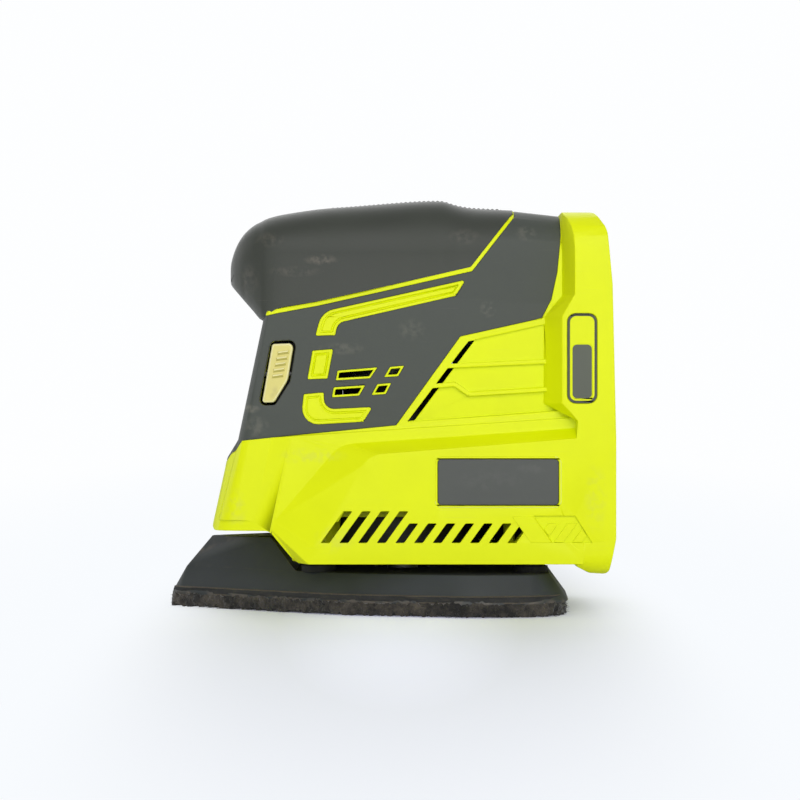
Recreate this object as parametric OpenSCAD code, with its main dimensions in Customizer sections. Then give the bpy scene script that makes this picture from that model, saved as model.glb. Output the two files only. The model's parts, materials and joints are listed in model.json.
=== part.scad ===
// Cordless detail mouse sander without its battery pack.
// Millimetres. The drive axis is the Z axis and the sanding face lies at Z = 0.
// -X is the pointed front, +X the battery collar, -Y the side that carries the switch.

/* [Pad] */
// Distance from the drive axis to the pad's pointed tip
pad_front = 81; // [74:0.5:90]
// Distance from the drive axis to the pad's rear edge
pad_rear = 57.4; // [56:0.2:62]
// Width of the pad at its widest
pad_width = 96; // [92:1:104]
// Radius of the pad's tip
pad_tip_radius = 6; // [3:0.5:9]
// Thickness of the hook sheet under the cushion
hook_thickness = 1.2; // [0.8:0.1:2]
// Thickness of the foam cushion
foam_thickness = 2.4; // [1.5:0.1:5]
// Height of the plate's upright rim
plate_rim = 1.4; // [1:0.1:2]
// Height of the plate from its rim to its flat deck
skirt_height = 9; // [8:0.25:9.5]
// Thickness of the plate's deck
deck_thickness = 3.2; // [2.5:0.1:4]
// How far the skirt leans in at the deck
skirt_lean = 5; // [3:0.25:6]
// Height of the raised nose above the deck
nose_rise = 11; // [8:0.25:11.5]
// Radius of the dust holes
dust_hole_radius = 3.5; // [2.5:0.25:4]
// Radius of the circle that carries the dust holes
dust_circle_radius = 24; // [22:0.5:26]

/* [Housing] */
// Half of the width across the lower body
lower_half_width = 36; // [35:0.25:38]
// Half of the width across the upper body at its foot
upper_half_width = 35; // [34:0.25:35.5]
// Half of the width across the collar and the proud lower panel
collar_half_width = 42; // [41:0.25:45]
// Height of the flat underside of the housing
body_bottom = 17.5; // [17:0.1:19]
// Height of the underside over the raised nose
nose_bottom = 28.4; // [28:0.1:30]
// Position of the collar's rear rim
collar_rear = 73; // [71:0.5:78]
// Depth of the recess that takes the battery's body
collar_depth = 11; // [8:0.5:13]
// Height of the collar's lowest edge
collar_bottom = 13.8; // [13:0.1:15]
// Height of the collar's top edge
collar_top = 137.4; // [136:0.2:138]
// Wall of the housing
wall = 2.5; // [2:0.1:3]
// Thickness of the soft cover over the grip and side
cover = 2; // [1.5:0.1:2.5]
// Backward lean of the front, in degrees
front_lean = 12; // [10:0.5:13]

/* [Grip] */
// Height of the crown of the grip
grip_top = 143.4; // [140:0.2:146]
// Half of the width across the grip
grip_half_width = 31.5; // [30:0.25:33]
// Thickness of the textured crown strip
crown_strip = 1.2; // [0.8:0.1:1.6]

/* [Battery socket] */
// Width of the socket for the battery's stem
socket_width = 44; // [40:0.5:46]
// Height of the socket for the battery's stem
socket_height = 42; // [38:0.5:44]
// Height of the socket's centre
socket_z = 102; // [100:0.5:103]
// Wall of the socket
socket_wall = 2.2; // [1.8:0.1:2.5]
// Length of the socket from the bulkhead forwards
socket_length = 38; // [34:0.5:39]

/* [Drive] */
// Offset of the eccentric pin
eccentricity = 0.9; // [0.6:0.05:1]
// Radius of the motor shaft
shaft_radius = 2.5; // [2:0.1:3]
// Radius of the eccentric pin
pin_radius = 4; // [3.5:0.1:5]
// Outer radius of the pad bearing
pad_bearing_radius = 11; // [10:0.1:12]
// Width of the pad bearing
pad_bearing_width = 7; // [6:0.1:7]
// Radius of the motor can
motor_radius = 18.5; // [17.5:0.1:19]
// Length of the motor can
motor_length = 51; // [48:0.5:52]
// Radius of the fan
fan_radius = 24; // [22:0.25:24.5]
// Number of fan blades
fan_blades = 9; // [7:1:12]
// Radial running clearance of each shaft
running_fit = 0.03; // [0.02:0.01:0.08]

/* [Flex posts] */
// Radius of each flex post
post_radius = 5; // [4:0.1:5.2]
// Clearance around each post
post_clearance = 1.4; // [1.3:0.05:1.6]

/* [Dust port] */
// Radius of the bore of the dust port
port_radius = 12.5; // [11:0.25:13]
// Depth of the bore of the dust port
port_depth = 14; // [12:0.5:16]
// Wall of the dust port
port_wall = 2.4; // [2:0.1:3]

/* [Switch] */
// Clearance around the rocker
rocker_gap = 0.9; // [0.7:0.05:1.2]
// Radius of the rocker's pin
rocker_pin_radius = 1.25; // [1:0.05:1.5]
// How far the rocker stands proud of the cover
rocker_proud = 0.8; // [0.4:0.1:1.4]

/* [Hidden] */

green = "#c8dc1e";
dark_rubber = "#50524b";
side_rubber = "#565b55";
black_plastic = "#2c3033";

$fn = 40;
arc_steps = 5;
large_radius = 30;
eps = 0.01;
reach = 200;

// ---------- outlines: corners are [x, y, radius] ----------
function unit(v) = v / norm(v);
function turn(v) = [-v.y, v.x];
function flat(p) = [p.x, p.y];
function radius_of(p) = len(p) > 2 ? p[2] : 0;
function cross_z(a, b) = a.x * b.y - a.y * b.x;
function area_sum(p, i = 0) =
    i >= len(p) ? 0 : cross_z(p[i], p[(i + 1) % len(p)]) + area_sum(p, i + 1);

function corner_arc(a, b, c, r) =
    let (
        u = unit(a - b),
        v = unit(c - b),
        half = acos(max(-1, min(1, u * v))) / 2,
        centre = b + unit(u + v) * r / sin(half),
        start = b + u * r / tan(half),
        end = b + v * r / tan(half),
        a0 = atan2(start.y - centre.y, start.x - centre.x),
        a1 = atan2(end.y - centre.y, end.x - centre.x),
        sweep = (a1 - a0 + 540) % 360 - 180,
        steps = r > large_radius ? 2 * arc_steps : arc_steps
    )
    [for (k = [0 : steps]) centre + r * [cos(a0 + sweep * k / steps),
                                         sin(a0 + sweep * k / steps)]];

function rounded(p) = [for (i = [0 : len(p) - 1])
    let (
        a = flat(p[(i + len(p) - 1) % len(p)]),
        b = flat(p[i]),
        c = flat(p[(i + 1) % len(p)]),
        r = radius_of(p[i])
    )
    each (r < 0.05 || norm(unit(a - b) + unit(c - b)) < 0.01 ? [b] : corner_arc(a, b, c, r))];

// Moves every edge of an outline inwards by d; a negative d moves them outwards.
function inset(p, d) =
    let (way = area_sum(p) > 0 ? 1 : -1)
    [for (i = [0 : len(p) - 1])
        let (
            a = flat(p[(i + len(p) - 1) % len(p)]),
            b = flat(p[i]),
            c = flat(p[(i + 1) % len(p)]),
            n1 = turn(unit(b - a)) * way,
            n2 = turn(unit(c - b)) * way,
            shift = (n1 + n2) * d / (1 + n1 * n2),
            convex = cross_z(b - a, c - b) * way > 0,
            r = radius_of(p[i])
        )
        [b.x + shift.x, b.y + shift.y, r == 0 ? 0 : max(0, convex ? r - d : r + d)]];

// ---------- extrusions ----------
// A side-view outline (x, z), solid from y0 to y1.
module along_y(y0, y1) {
    translate([0, y1, 0]) rotate([90, 0, 0]) linear_extrude(y1 - y0) children();
}
// An end-view outline (y, z), solid from x0 to x1.
module along_x(x0, x1) {
    translate([x0, 0, 0]) rotate([90, 0, 90]) linear_extrude(x1 - x0) children();
}
module along_z(z0, z1) {
    translate([0, 0, z0]) linear_extrude(z1 - z0) children();
}
module ring(outer, inner, z0, z1) {
    difference() {
        translate([0, 0, z0]) cylinder(r = outer, h = z1 - z0, $fn = 64);
        translate([0, 0, z0 - 1]) cylinder(r = inner, h = z1 - z0 + 2, $fn = 64);
    }
}
module rod_y(x, z, r, y0, y1) {
    translate([x, y1, z]) rotate([90, 0, 0]) cylinder(r = r, h = y1 - y0);
}
module box(low, high) {
    translate(low) cube(high - low);
}
module left_only() {
    intersection() {
        children();
        box([-reach, -reach, -reach], [reach, 0, reach]);
    }
}

// ---------- housing outlines ----------
floor_z = body_bottom + wall;
inner = cover + wall;
front_x = -66.7;
lip_x = -61.1;
lip_z = 52.6;
cover_foot_x = -57;
cover_foot_z = 59.3;
neck_x = -48.6;
neck_z = 101.3;
body_rear = collar_rear - collar_depth;
lower_side = [[body_rear, body_bottom], [-35.5, body_bottom, 3], [-44.5, nose_bottom, 3],
    [front_x, nose_bottom, 2.5], [lip_x, lip_z, 1.5], [cover_foot_x, cover_foot_z, 1],
    [body_rear, 67.2]];
upper_side = [[body_rear, 32], [-62.5, 32], [neck_x, neck_z, 2], [neck_x + 20, 116],
    [body_rear, 116]];
upper_corner = 6;
lower_plan = [[reach, lower_half_width], [22, lower_half_width, 8],
    [0, lower_half_width - 3.2, 11], [0, 3.2 - lower_half_width, 11],
    [22, -lower_half_width, 8], [reach, -lower_half_width]];
upper_plan = [[reach, upper_half_width], [0, upper_half_width, upper_corner],
    [0, -upper_half_width, upper_corner], [reach, -upper_half_width]];
draft = 1.6;
lower_front = [[-lower_half_width, body_bottom, 4], [lower_half_width, body_bottom, 4],
    [lower_half_width, 90], [-lower_half_width, 90]];
upper_front = [[-upper_half_width, 30], [upper_half_width, 30], [upper_half_width, 62],
    [upper_half_width - draft, neck_z], [grip_half_width - 1, 116],
    [1 - grip_half_width, 116], [draft - upper_half_width, neck_z], [-upper_half_width, 62]];

// A plan outline pushed up along the leaning front; its own x = 0 is the front face.
module leaning_prism(outline, front, foot) {
    translate([front, 0, foot]) rotate([0, front_lean, 0])
        translate([0, 0, -40]) linear_extrude(150) polygon(rounded(outline));
}
module lower_body(d) {
    intersection() {
        along_y(-reach, reach) polygon(rounded(inset(lower_side, d)));
        leaning_prism(inset(lower_plan, d), front_x + 0.4, nose_bottom);
        along_x(-reach, reach) polygon(rounded(inset(lower_front, d)));
    }
}
module upper_body(d) {
    intersection() {
        along_y(-reach, reach) polygon(rounded(inset(upper_side, d)));
        leaning_prism(inset(upper_plan, d), cover_foot_x, cover_foot_z);
        along_x(-reach, reach) polygon(rounded(inset(upper_front, d)));
    }
}

// Grip sections: [x, half width, low z, top z, corner radius]
grip_foot = neck_z + 0.2;
grip_sections = [
    [-59.4, grip_half_width - 17, grip_foot + 12.4, grip_top - 23.2, 3],
    [-58.8, grip_half_width - 12.5, grip_foot + 11.4, grip_top - 19.2, 6],
    [-57.2, grip_half_width - 8.6, grip_foot + 9.5, grip_top - 14.1, 8],
    [-54.8, grip_half_width - 5.6, grip_foot + 6.8, grip_top - 10.5, 10],
    [-51.8, grip_half_width - 3.5, grip_foot + 3.5, grip_top - 7.8, 12],
    [-48.2, grip_half_width - 2, grip_foot, grip_top - 5.8, 13],
    [-40, grip_half_width - 0.5, grip_foot, grip_top - 3.6, 14],
    [-28, grip_half_width - 0.1, grip_foot, grip_top - 2, 15],
    [8, grip_half_width, grip_foot, grip_top, 15],
    [22, grip_half_width + 0.3, grip_foot, grip_top - 1.9, 15],
    [body_rear, grip_half_width + 1.5, grip_foot, collar_top - 0.2, 13]];
crown_drop = 2.2;
module grip_section(s, d) {
    half = s[1] - d;
    low = s[2] + d;
    top = s[3] - d;
    r = max(1.5, s[4] - d);
    outline = [[-half, low, min(r, 5)], [half, low, min(r, 5)],
        [half, top - crown_drop, r], [0, top, 2 * r], [-half, top - crown_drop, r]];
    end_shift = s[0] < -40 ? d : 0;
    along_x(s[0] + end_shift - eps, s[0] + end_shift + eps)
        polygon(rounded(outline));
}
// The saddle behind the crown, in side view
crown_peak = 13;
saddle_front = 22;
saddle_drop = 2.9;
saddle = [[crown_peak, grip_top], [saddle_front, grip_top - saddle_drop],
    [38, grip_top - saddle_drop - 0.5], [body_rear + 1, collar_top + 0.6],
    [body_rear + 1, reach], [crown_peak, reach]];
module grip_form(d) {
    difference() {
        hull() for (s = grip_sections) grip_section(s, d);
        translate([0, 0, -d]) along_y(-reach, reach) polygon(saddle);
    }
}
module core_form(d) {
    lower_body(d);
    upper_body(d);
    grip_form(d);
}

// ---------- soft covers, in side view ----------
seam_width = 1.5;
above_grip = grip_top + 12;
seam = [[-75, 102.2], [-45.6, 101.9], [-42, 102.6], [-28, 105.2], [6.8, 113], [24.6, 117],
    [39.2, 135.8], [40.9, above_grip]];
cover_foot = [[-75, lip_z - 0.4], [lip_x + 0.3, lip_z - 0.4], [-54.6, 59.1], [-1.3, 64.4],
    [20.6, 94.7], [48.4, 100.9], [51.7, 107.3], [53.7, 116.6], [55, 129.7], [55, above_grip]];
grip_region = concat([for (p = seam) p + [-0.4, seam_width]], [[-75, above_grip]]);
side_region = concat(cover_foot, [for (i = [len(seam) - 1 : -1 : 0]) seam[i]]);

// ---------- raised inlays and vents, in side view ----------
inlay_top = [[-28.9, 94.9, 0.6], [-26.7, 103.1, 6.8], [22.5, 114.1, 0.6], [19, 108.6, 0.6],
    [-21.3, 99.3, 3.5], [-22.1, 95.1, 0.6]];
inlay_middle = [[-29.9, 89.8, 0.6], [-22.8, 90.4, 0.6], [-24.7, 80.3, 0.6], [-31.6, 80, 0.6]];
inlay_low = [[-32.8, 75, 0.6], [-26, 75.6, 0.6], [-25.8, 69.8, 3.4], [-9.4, 70.6, 0.6],
    [-12.5, 65.6, 0.6], [-34.1, 64.3, 5.4]];
vents = [[[-21.3, 83], [-7.7, 84.1], [-10.2, 80.4], [-21.9, 79.7]],
    [[-3.4, 84.3], [1.4, 84.7], [-0.6, 81.1], [-5.4, 80.8]],
    [[-22.6, 77.3], [-11.9, 78], [-13.9, 74.5], [-23.2, 73.9]],
    [[-7.7, 78.4], [-3, 78.8], [-4.9, 75], [-9.7, 74.7]]];
vent_frame = 0.7;
// Depth and width of the line engraved in each inlay, and its distance from the edge
groove = 0.35;
groove_width = 0.5;
groove_inset = 1.1;

module inlay_outlines() {
    for (shape = [inlay_top, inlay_middle, inlay_low]) polygon(rounded(shape));
    for (vent = vents) polygon(vent);
}

// ---------- recessed rear panel ----------
recess_depth = 2.4;
rear_recess = [[2.6, 65.4], [54, 69.4], [54, 99.8], [24.6, 93.4]];
rear_slot = [[2.6, 65.8], [4.9, 66], [25.6, 93.5], [23.2, 93]];
rib_width = 1.4;
upper_rib = [[12, 84.4], [56, 86.4]];
lower_rib = [[8, 77.5], [18.7, 78.4], [23.5, 75], [56, 77]];
module rib_line(points) {
    for (i = [0 : len(points) - 2]) {
        a = points[i];
        b = points[i + 1];
        side = turn(unit(b - a)) * rib_width / 2;
        polygon([a - side, b - side, b + side, a + side]);
    }
}

// ---------- proud lower panel and collar ----------
panel_face = [[body_rear, 60.2], [-10.5, 54.4, 9], [-29.6, body_bottom + 6, 4],
    [-31, body_bottom], [body_rear, body_bottom]];
panel_root = [[body_rear, 63.6], [-20.5, 57.8, 9], [-43, 31.4, 3], [-43.4, nose_bottom],
    [-34.6, body_bottom], [body_rear, body_bottom]];
module lower_panel() {
    hull() {
        along_y(-collar_half_width, -collar_half_width + eps) polygon(rounded(panel_face));
        along_y(-lower_half_width, -lower_half_width + 2) polygon(rounded(panel_root));
    }
}
collar_wall = 3.6;
collar_front = [[-collar_half_width, collar_bottom, 7], [collar_half_width, collar_bottom, 7],
    [collar_half_width, collar_top, 13], [-collar_half_width, collar_top, 13]];
collar_side = [[48, collar_bottom + 6], [59.5, collar_bottom + 3, 2],
    [collar_rear - 9, collar_bottom + 0.6, 2], [collar_rear - 2.4, collar_bottom, 2],
    [collar_rear, 26, 8], [collar_rear, 60], [collar_rear - 1.2, 112, 20],
    [collar_rear - 2.9, collar_top - 6.6, 8], [collar_rear - 6.8, collar_top, 3.5],
    [48, collar_top]];
// The collar's front edge, and how far its sloped band reaches ahead of it there
collar_front_low = 59.6;
collar_front_middle = 54.7;
collar_front_top = 59;
band_middle = 5.5;
band_top = 3.7;
band_root = upper_half_width - 2;
// Heights where the band starts, is full below, ends full below and is full above
band_foot = 66.2;
band_low = 71.8;
band_high = 101.3;
band_upper = 108.6;
module collar() {
    intersection() {
        along_x(0, reach) polygon(rounded(collar_front));
        along_y(-reach, reach) polygon(rounded(collar_side));
        union() {
            box([collar_front_low, -reach, 0], [reach, reach, band_low + 0.2]);
            band_prism(collar_front_middle, band_middle, band_low, band_high);
            band_prism(collar_front_top, band_top, band_upper, reach);
            band_blend([collar_front_low, 0.1, band_foot],
                [collar_front_middle, band_middle, band_low]);
            band_blend([collar_front_middle, band_middle, band_high],
                [collar_front_top, band_top, band_upper]);
        }
    }
}
// Plan of the collar with its sloped band, for a front edge at x
function band_plan(x, depth) = [[x, -collar_half_width], [reach, -collar_half_width],
    [reach, collar_half_width], [x, collar_half_width], [x - depth, band_root],
    [x - depth, -band_root]];
module band_prism(x, depth, z0, z1) {
    along_z(z0, z1) polygon(band_plan(x, depth));
}
// The stretch of band between two stations [x, depth, z]
module band_blend(a, b) {
    hull() {
        band_prism(a.x, a.y, a.z, a.z + eps);
        band_prism(b.x, b.y, b.z - eps, b.z);
    }
}

// ---------- louvres ----------
louvre_foot = 24.7;
louvre_slant = 0.72;
louvre_pitch = 6.3;
louvre_width = 3;
louvre_start = -26.8;
louvre_tall = 4;
louvre_count = 11;
tall_height = 10.7;
short_height = 6.6;
through_height = 6.9;
module louvre_slot(x, height) {
    polygon([[x, louvre_foot], [x + louvre_width, louvre_foot],
        [x + louvre_width + height * louvre_slant, louvre_foot + height],
        [x + height * louvre_slant, louvre_foot + height]]);
}
module louvres(first, last, height_limit) {
    for (i = [first : last])
        louvre_slot(louvre_start + i * louvre_pitch,
            min(height_limit, i < louvre_tall ? tall_height : short_height));
}
louvre_field = [[-19.6, 37.6], [5.2, 37.6], [8, 33.9], [39.2, 33.9], [49, 24.7], [-29, 24.7]];
blind_field = [[45.4, 33.9], [59, 33.9], [64.8, 24.8], [55.4, 24.8]];
blind_ribs = [[50, 33.9], [54.8, 33.9], [59.4, 33.9]];

// ---------- screw bosses ----------
boss_radius = 4;
screw_radius = 1.5;
screw_head_radius = 3;
// Each boss: [x, z, how far it reaches out from the centre plane]
bosses = [[-52, 40, 29], [-46, 64, 31], [-42, grip_top - 25.4, 25],
    [12, grip_top - 19.4, 27], [34, 66, 31], [51, 66, 31]];
screw_head_depth = 19;
screw_tail = 16;

// ---------- drive stack ----------
plate_bottom = hook_thickness + foam_thickness;
rim_top = plate_bottom + plate_rim;
deck_top = rim_top + skirt_height;
bearing_low = plate_bottom + 1.6;
bearing_high = bearing_low + pad_bearing_width;
hub_foot = deck_top + 5;
hub_radius = 9;
weight_top = hub_foot + 5;
fan_low = weight_top + 0.5;
fan_disc = fan_low + 7.5;
hub_top = fan_disc + 1.5;
chamber_radius = fan_radius + 2;
shroud_wall = 2;
shroud_radius = chamber_radius + shroud_wall;
shroud_top = max(floor_z + 16, hub_top + 2);
bracket_thickness = 5;
bracket_top = shroud_top + bracket_thickness;
small_bearing_radius = 8;
bearing_bore = shaft_radius + running_fit;
motor_top = bracket_top + motor_length;
can_wall = 1.3;
bell_height = 6;
bell_top = motor_top + bell_height;
shaft_top = bell_top + 2;
bottom_opening = 19;
post_seats = [[-29, 22.5], [44, 26]];
// The posts orbit round their seats, so at rest they stand off by the eccentricity
posts = [for (seat = post_seats) [seat.x + eccentricity, seat.y]];
post_top = floor_z + 12;
cup_radius = post_radius + post_clearance;
post_screw_radius = 1.5;
post_screw_head = 3.2;
cup_wall = 2;

// ---------- switch ----------
rocker_outline = [[-43.3, 92.2, 1.2], [-36.3, 92.6, 1.4], [-38.3, 79.7, 2], [-43, 72.2, 1],
    [-47.2, 72, 1]];
rocker_pin_z = 82;
rocker_pin_y = -30.4;
rocker_pin_start = -47.8;
rocker_pin_length = 13;
rocker_face = upper_half_width - draft * (rocker_pin_z - 62) / (neck_z - 62) + rocker_proud;
rocker_back = 28.6;
plunger_rise = 7.5;
plunger_radius = 1;
plunger_x = -40.6;
plunger_play = 0.3;
plunger_length = 20;
plunger_travel = 3.2;
switch_front = 24.4;

// ---------- battery socket ----------
socket_front = body_rear - socket_length;
socket_half = socket_width / 2;
socket_low = socket_z - socket_height / 2;
socket_high = socket_z + socket_height / 2;
seat_gap = 0.1;

// ---------- dust port ----------
port_inset = 8;
port_low = 18.6;
port_x = chamber_radius - port_inset;
port_z = port_radius + port_wall + port_low;
passage_radius = 6.5;
passage_wall = 1.8;
passage_z = floor_z + passage_radius + passage_wall;
port_mouth = collar_half_width + 10;
port_foot = shroud_radius + 0.4;

module port_bores() {
    rod_y(port_x, port_z, port_radius, port_mouth - port_depth, port_mouth + 5);
    rod_y(port_x, passage_z, passage_radius, 8, port_mouth - port_depth + 1);
}

// ---------- housing ----------
module inner_hollow() {
    intersection() {
        union() {
            core_form(inner);
            intersection() {
                lower_body(wall);
                box([-reach, -reach, 0], [reach, reach, 52]);
            }
        }
        box([-reach, -reach, 0], [body_rear - wall, reach, reach]);
    }
    pocket = inset(panel_face, wall + 0.6);
    along_y(wall - collar_half_width, -20) polygon(rounded(pocket));
}
module collar_recess() {
    intersection() {
        along_x(body_rear, reach) polygon(rounded(inset(collar_front, collar_wall)));
        box([body_rear, -reach, 0], [reach, reach, reach]);
    }
}
module outer_shell() {
    difference() {
        union() {
            core_form(cover);
            difference() {
                core_form(0);
                along_y(-reach, reach) difference() {
                    union() {
                        polygon(grip_region);
                        polygon(side_region);
                    }
                    inlay_outlines();
                }
            }
        }
        along_y(-reach, recess_depth - upper_half_width) difference() {
            polygon(rear_recess);
            rib_line(upper_rib);
            rib_line(lower_rib);
        }
    }
    lower_panel();
    collar();
}
module side_openings() {
    for (vent = vents) along_y(-reach, -20) polygon(rounded(inset(vent, vent_frame)));
    along_y(-reach, -20) difference() {
        polygon(rear_slot);
        rib_line(upper_rib);
        rib_line(lower_rib);
    }
    difference() {
        for (shape = [inlay_top, inlay_middle, inlay_low])
            along_y(-reach, -20) difference() {
                polygon(rounded(inset(shape, groove_inset)));
                polygon(rounded(inset(shape, groove_inset + groove_width)));
            }
        upper_body(groove);
    }
}
module louvre_openings(first, last) {
    along_y(-reach, -30) louvres(first, last, through_height);
    along_y(-reach, 3.2 - collar_half_width) louvres(first, last, tall_height);
    along_y(-reach, 0.8 - collar_half_width) difference() {
        polygon(rounded(blind_field));
        for (foot = blind_ribs)
            polygon([foot, foot + [1.2, 0], foot + [7.8, -9.2], foot + [6.6, -9.2]]);
    }
}
module rocker_well() {
    along_y(-reach, 1 - rocker_back) polygon(rounded(inset(rocker_outline, -rocker_gap)));
}
module inner_supports() {
    for (seat = post_seats)
        translate([seat.x, -seat.y, body_bottom])
            cylinder(r = cup_radius + cup_wall, h = post_top + 3 - body_bottom);
    intersection() {
        ring(reach, shroud_radius + seat_gap, bracket_top - 8, bracket_top - 4);
        lower_body(inner - 1);
    }
    for (p = bosses) rod_y(p.x, p[1], boss_radius, -p[2], 0);
    difference() {
        intersection() {
            upper_body(inner - 1);
            union() {
                box([socket_front + 6, -reach, 52], [socket_front + 8, 0, socket_low - 1]);
                box([body_rear - 8, -reach, 52], [body_rear - 6, 0, socket_low - 1]);
            }
        }
        box([-reach, -socket_half + 4, 0], [reach, reach, socket_low - 12]);
    }
}
module shell_half() {
    left_only() {
        difference() {
            outer_shell();
            inner_hollow();
            collar_recess();
        }
        inner_supports();
    }
}
module housing_cuts() {
    translate([0, 0, body_bottom - 5]) cylinder(r = bottom_opening, h = wall + 10, $fn = 64);
    for (seat = post_seats)
        translate([seat.x, -seat.y, body_bottom - 5])
            cylinder(r = cup_radius, h = post_top + 0.5 - body_bottom + 5);
    box([socket_front, -socket_half - socket_wall - seat_gap, socket_low - socket_wall - seat_gap],
        [body_rear + 5, 1, socket_high + socket_wall + seat_gap]);
    for (p = bosses) rod_y(p.x, p[1], screw_radius + seat_gap, -screw_tail - 1, 1);
    side_openings();
}

module housing_left() {
    color(green) difference() {
        shell_half();
        housing_cuts();
        louvre_openings(0, louvre_count - 1);
        rocker_well();
        rocker_pin_hole();
        along_y(-reach, 1 - collar_half_width) {
            polygon(rounded(nameplate_outline));
            polygon(rounded(badge_outline));
        }
    }
}
module housing_right() {
    color(green) difference() {
        mirror([0, 1, 0]) shell_half();
        mirror([0, 1, 0]) housing_cuts();
        mirror([0, 1, 0]) louvre_openings(0, louvre_tall - 1);
        for (p = bosses) rod_y(p.x, p[1], screw_radius + seat_gap, -1, reach);
        screw_wells();
        rod_y(port_x, port_z, port_radius + port_wall + seat_gap, port_foot - seat_gap, reach);
        rod_y(port_x, passage_z, passage_radius + passage_wall + seat_gap, 0, port_foot);
    }
}
module screw_wells() {
    for (p = bosses) rod_y(p.x, p[1], screw_head_radius + 0.3, screw_head_depth, reach);
}
module rocker_pin_hole() {
    translate([rocker_pin_start, rocker_pin_y, rocker_pin_z]) rotate([0, 90, 0])
        cylinder(r = rocker_pin_radius, h = rocker_pin_length);
}

// ---------- soft covers ----------
module cover_shell() {
    difference() {
        core_form(0);
        core_form(cover);
    }
}
module grip_cover() {
    left_only() difference() {
        intersection() {
            cover_shell();
            along_y(-reach, 0) polygon(grip_region);
        }
        crown_strip_form(0);
    }
}
module grip_left() {
    color(dark_rubber) grip_cover();
}
module grip_right() {
    color(dark_rubber) difference() {
        mirror([0, 1, 0]) grip_cover();
        screw_wells();
    }
}
crown_front = -26;
crown_rear = 36;
crown_front_half = 9;
crown_rear_half = 14;
crown_corner = 5;
crown_outline = [[crown_front, crown_front_half, crown_corner],
    [crown_rear, crown_rear_half, crown_corner],
    [crown_rear, -crown_rear_half, crown_corner],
    [crown_front, -crown_front_half, crown_corner]];
module crown_strip_form(d) {
    difference() {
        along_z(grip_top - 13, grip_top + 7) polygon(rounded(inset(crown_outline, d)));
        grip_form(crown_strip);
    }
}
module crown_strip_pad() {
    color(dark_rubber) intersection() {
        crown_strip_form(0);
        grip_form(0);
    }
}
module side_cover() {
    left_only() intersection() {
        cover_shell();
        along_y(-reach, 0) difference() {
            polygon(side_region);
            inlay_outlines();
        }
    }
}
module side_cover_left() {
    color(side_rubber) difference() {
        side_cover();
        rocker_well();
    }
}
module side_cover_right() {
    color(side_rubber) difference() {
        mirror([0, 1, 0]) side_cover();
        screw_wells();
    }
}

// ---------- plates on the switch side, left bare ----------
nameplate_outline = [[12.6, 37.4, 1.4], [53.7, 37.4, 1.4], [53.7, 53.2, 1.4], [12.6, 53.2, 1.4]];
badge_outline = [[56.4, 71.8, 2.9], [66.6, 71.8, 2.9], [66.6, 102.3, 2.9], [56.4, 102.3, 2.9]];
module nameplate() {
    color(black_plastic) along_y(0 - collar_half_width, 1 - collar_half_width)
        polygon(rounded(inset(nameplate_outline, seat_gap)));
}
module badge_plate() {
    color(side_rubber) along_y(0 - collar_half_width, 1 - collar_half_width)
        polygon(rounded(inset(badge_outline, seat_gap)));
}

// ---------- battery socket and terminals ----------
module battery_socket() {
    color(black_plastic) difference() {
        union() {
            box([socket_front, -socket_half - socket_wall, socket_low - socket_wall],
                [body_rear, socket_half + socket_wall, socket_high + socket_wall]);
            box([body_rear, -socket_half - 5, socket_low - 5],
                [body_rear + 1.6, socket_half + 5, socket_high + 5]);
        }
        box([socket_front + 3, -socket_half, socket_low],
            [body_rear + 5, socket_half, socket_high]);
        for (side = [-1, 1])
            box([body_rear - 14, side > 0 ? socket_half - 1 : -socket_half - 5, socket_z - 4],
                [body_rear - 8, side > 0 ? socket_half + 5 : 1 - socket_half, socket_z + 4]);
    }
}
blade_pitch = 12;
blade_half = 4.9;
blade_thickness = 0.7;
blade_length = 17;
block_start = 3;
block_thickness = 6;
block_half_width = blade_pitch + 5;
block_half_height = 12;
blade_ys = [-blade_pitch, 0, blade_pitch];
module blades(x0, x1, grow) {
    for (y = blade_ys)
        box([x0, y - blade_thickness / 2 - grow, socket_z - blade_half - grow],
            [x1, y + blade_thickness / 2 + grow, socket_z + blade_half + grow]);
}
module terminal_block() {
    color(black_plastic) difference() {
        box([socket_front + block_start, -block_half_width, socket_z - block_half_height],
            [socket_front + block_start + block_thickness, block_half_width,
                socket_z + block_half_height]);
        blades(socket_front, socket_front + block_start + block_thickness + 1, 0.05);
    }
}
module terminal_blades() {
    color("silver") blades(socket_front + block_start,
        socket_front + block_start + blade_length, 0);
}

// ---------- motor ----------
module motor_can() {
    color("silver") difference() {
        translate([0, 0, bracket_top]) cylinder(r = motor_radius, h = motor_length, $fn = 64);
        translate([0, 0, bracket_top + can_wall])
            cylinder(r = motor_radius - can_wall, h = motor_length, $fn = 64);
        translate([0, 0, bracket_top - 1]) cylinder(r = 5.5, h = 5);
        for (a = [0, 180]) rotate([0, 0, a]) translate([11, 0, bracket_top - 1])
            cylinder(r = 1.6, h = 5, $fn = 24);
        for (a = [45 : 90 : 315]) rotate([0, 0, a])
            box([motor_radius - 3, -3, bracket_top + 3], [motor_radius + 3, 3, bracket_top + 7]);
    }
}
magnet_wall = 1.8;
magnet_radius = motor_radius - can_wall - 0.05;
magnet_half_width = 12;
magnet_low = bracket_top + 9;
magnet_high = motor_top - 10;
module motor_magnets() {
    color("dimgray") for (a = [0, 180]) rotate([0, 0, a]) intersection() {
        ring(magnet_radius, magnet_radius - magnet_wall, magnet_low, magnet_high);
        box([0, -magnet_half_width, 0], [reach, magnet_half_width, reach]);
    }
}
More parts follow.
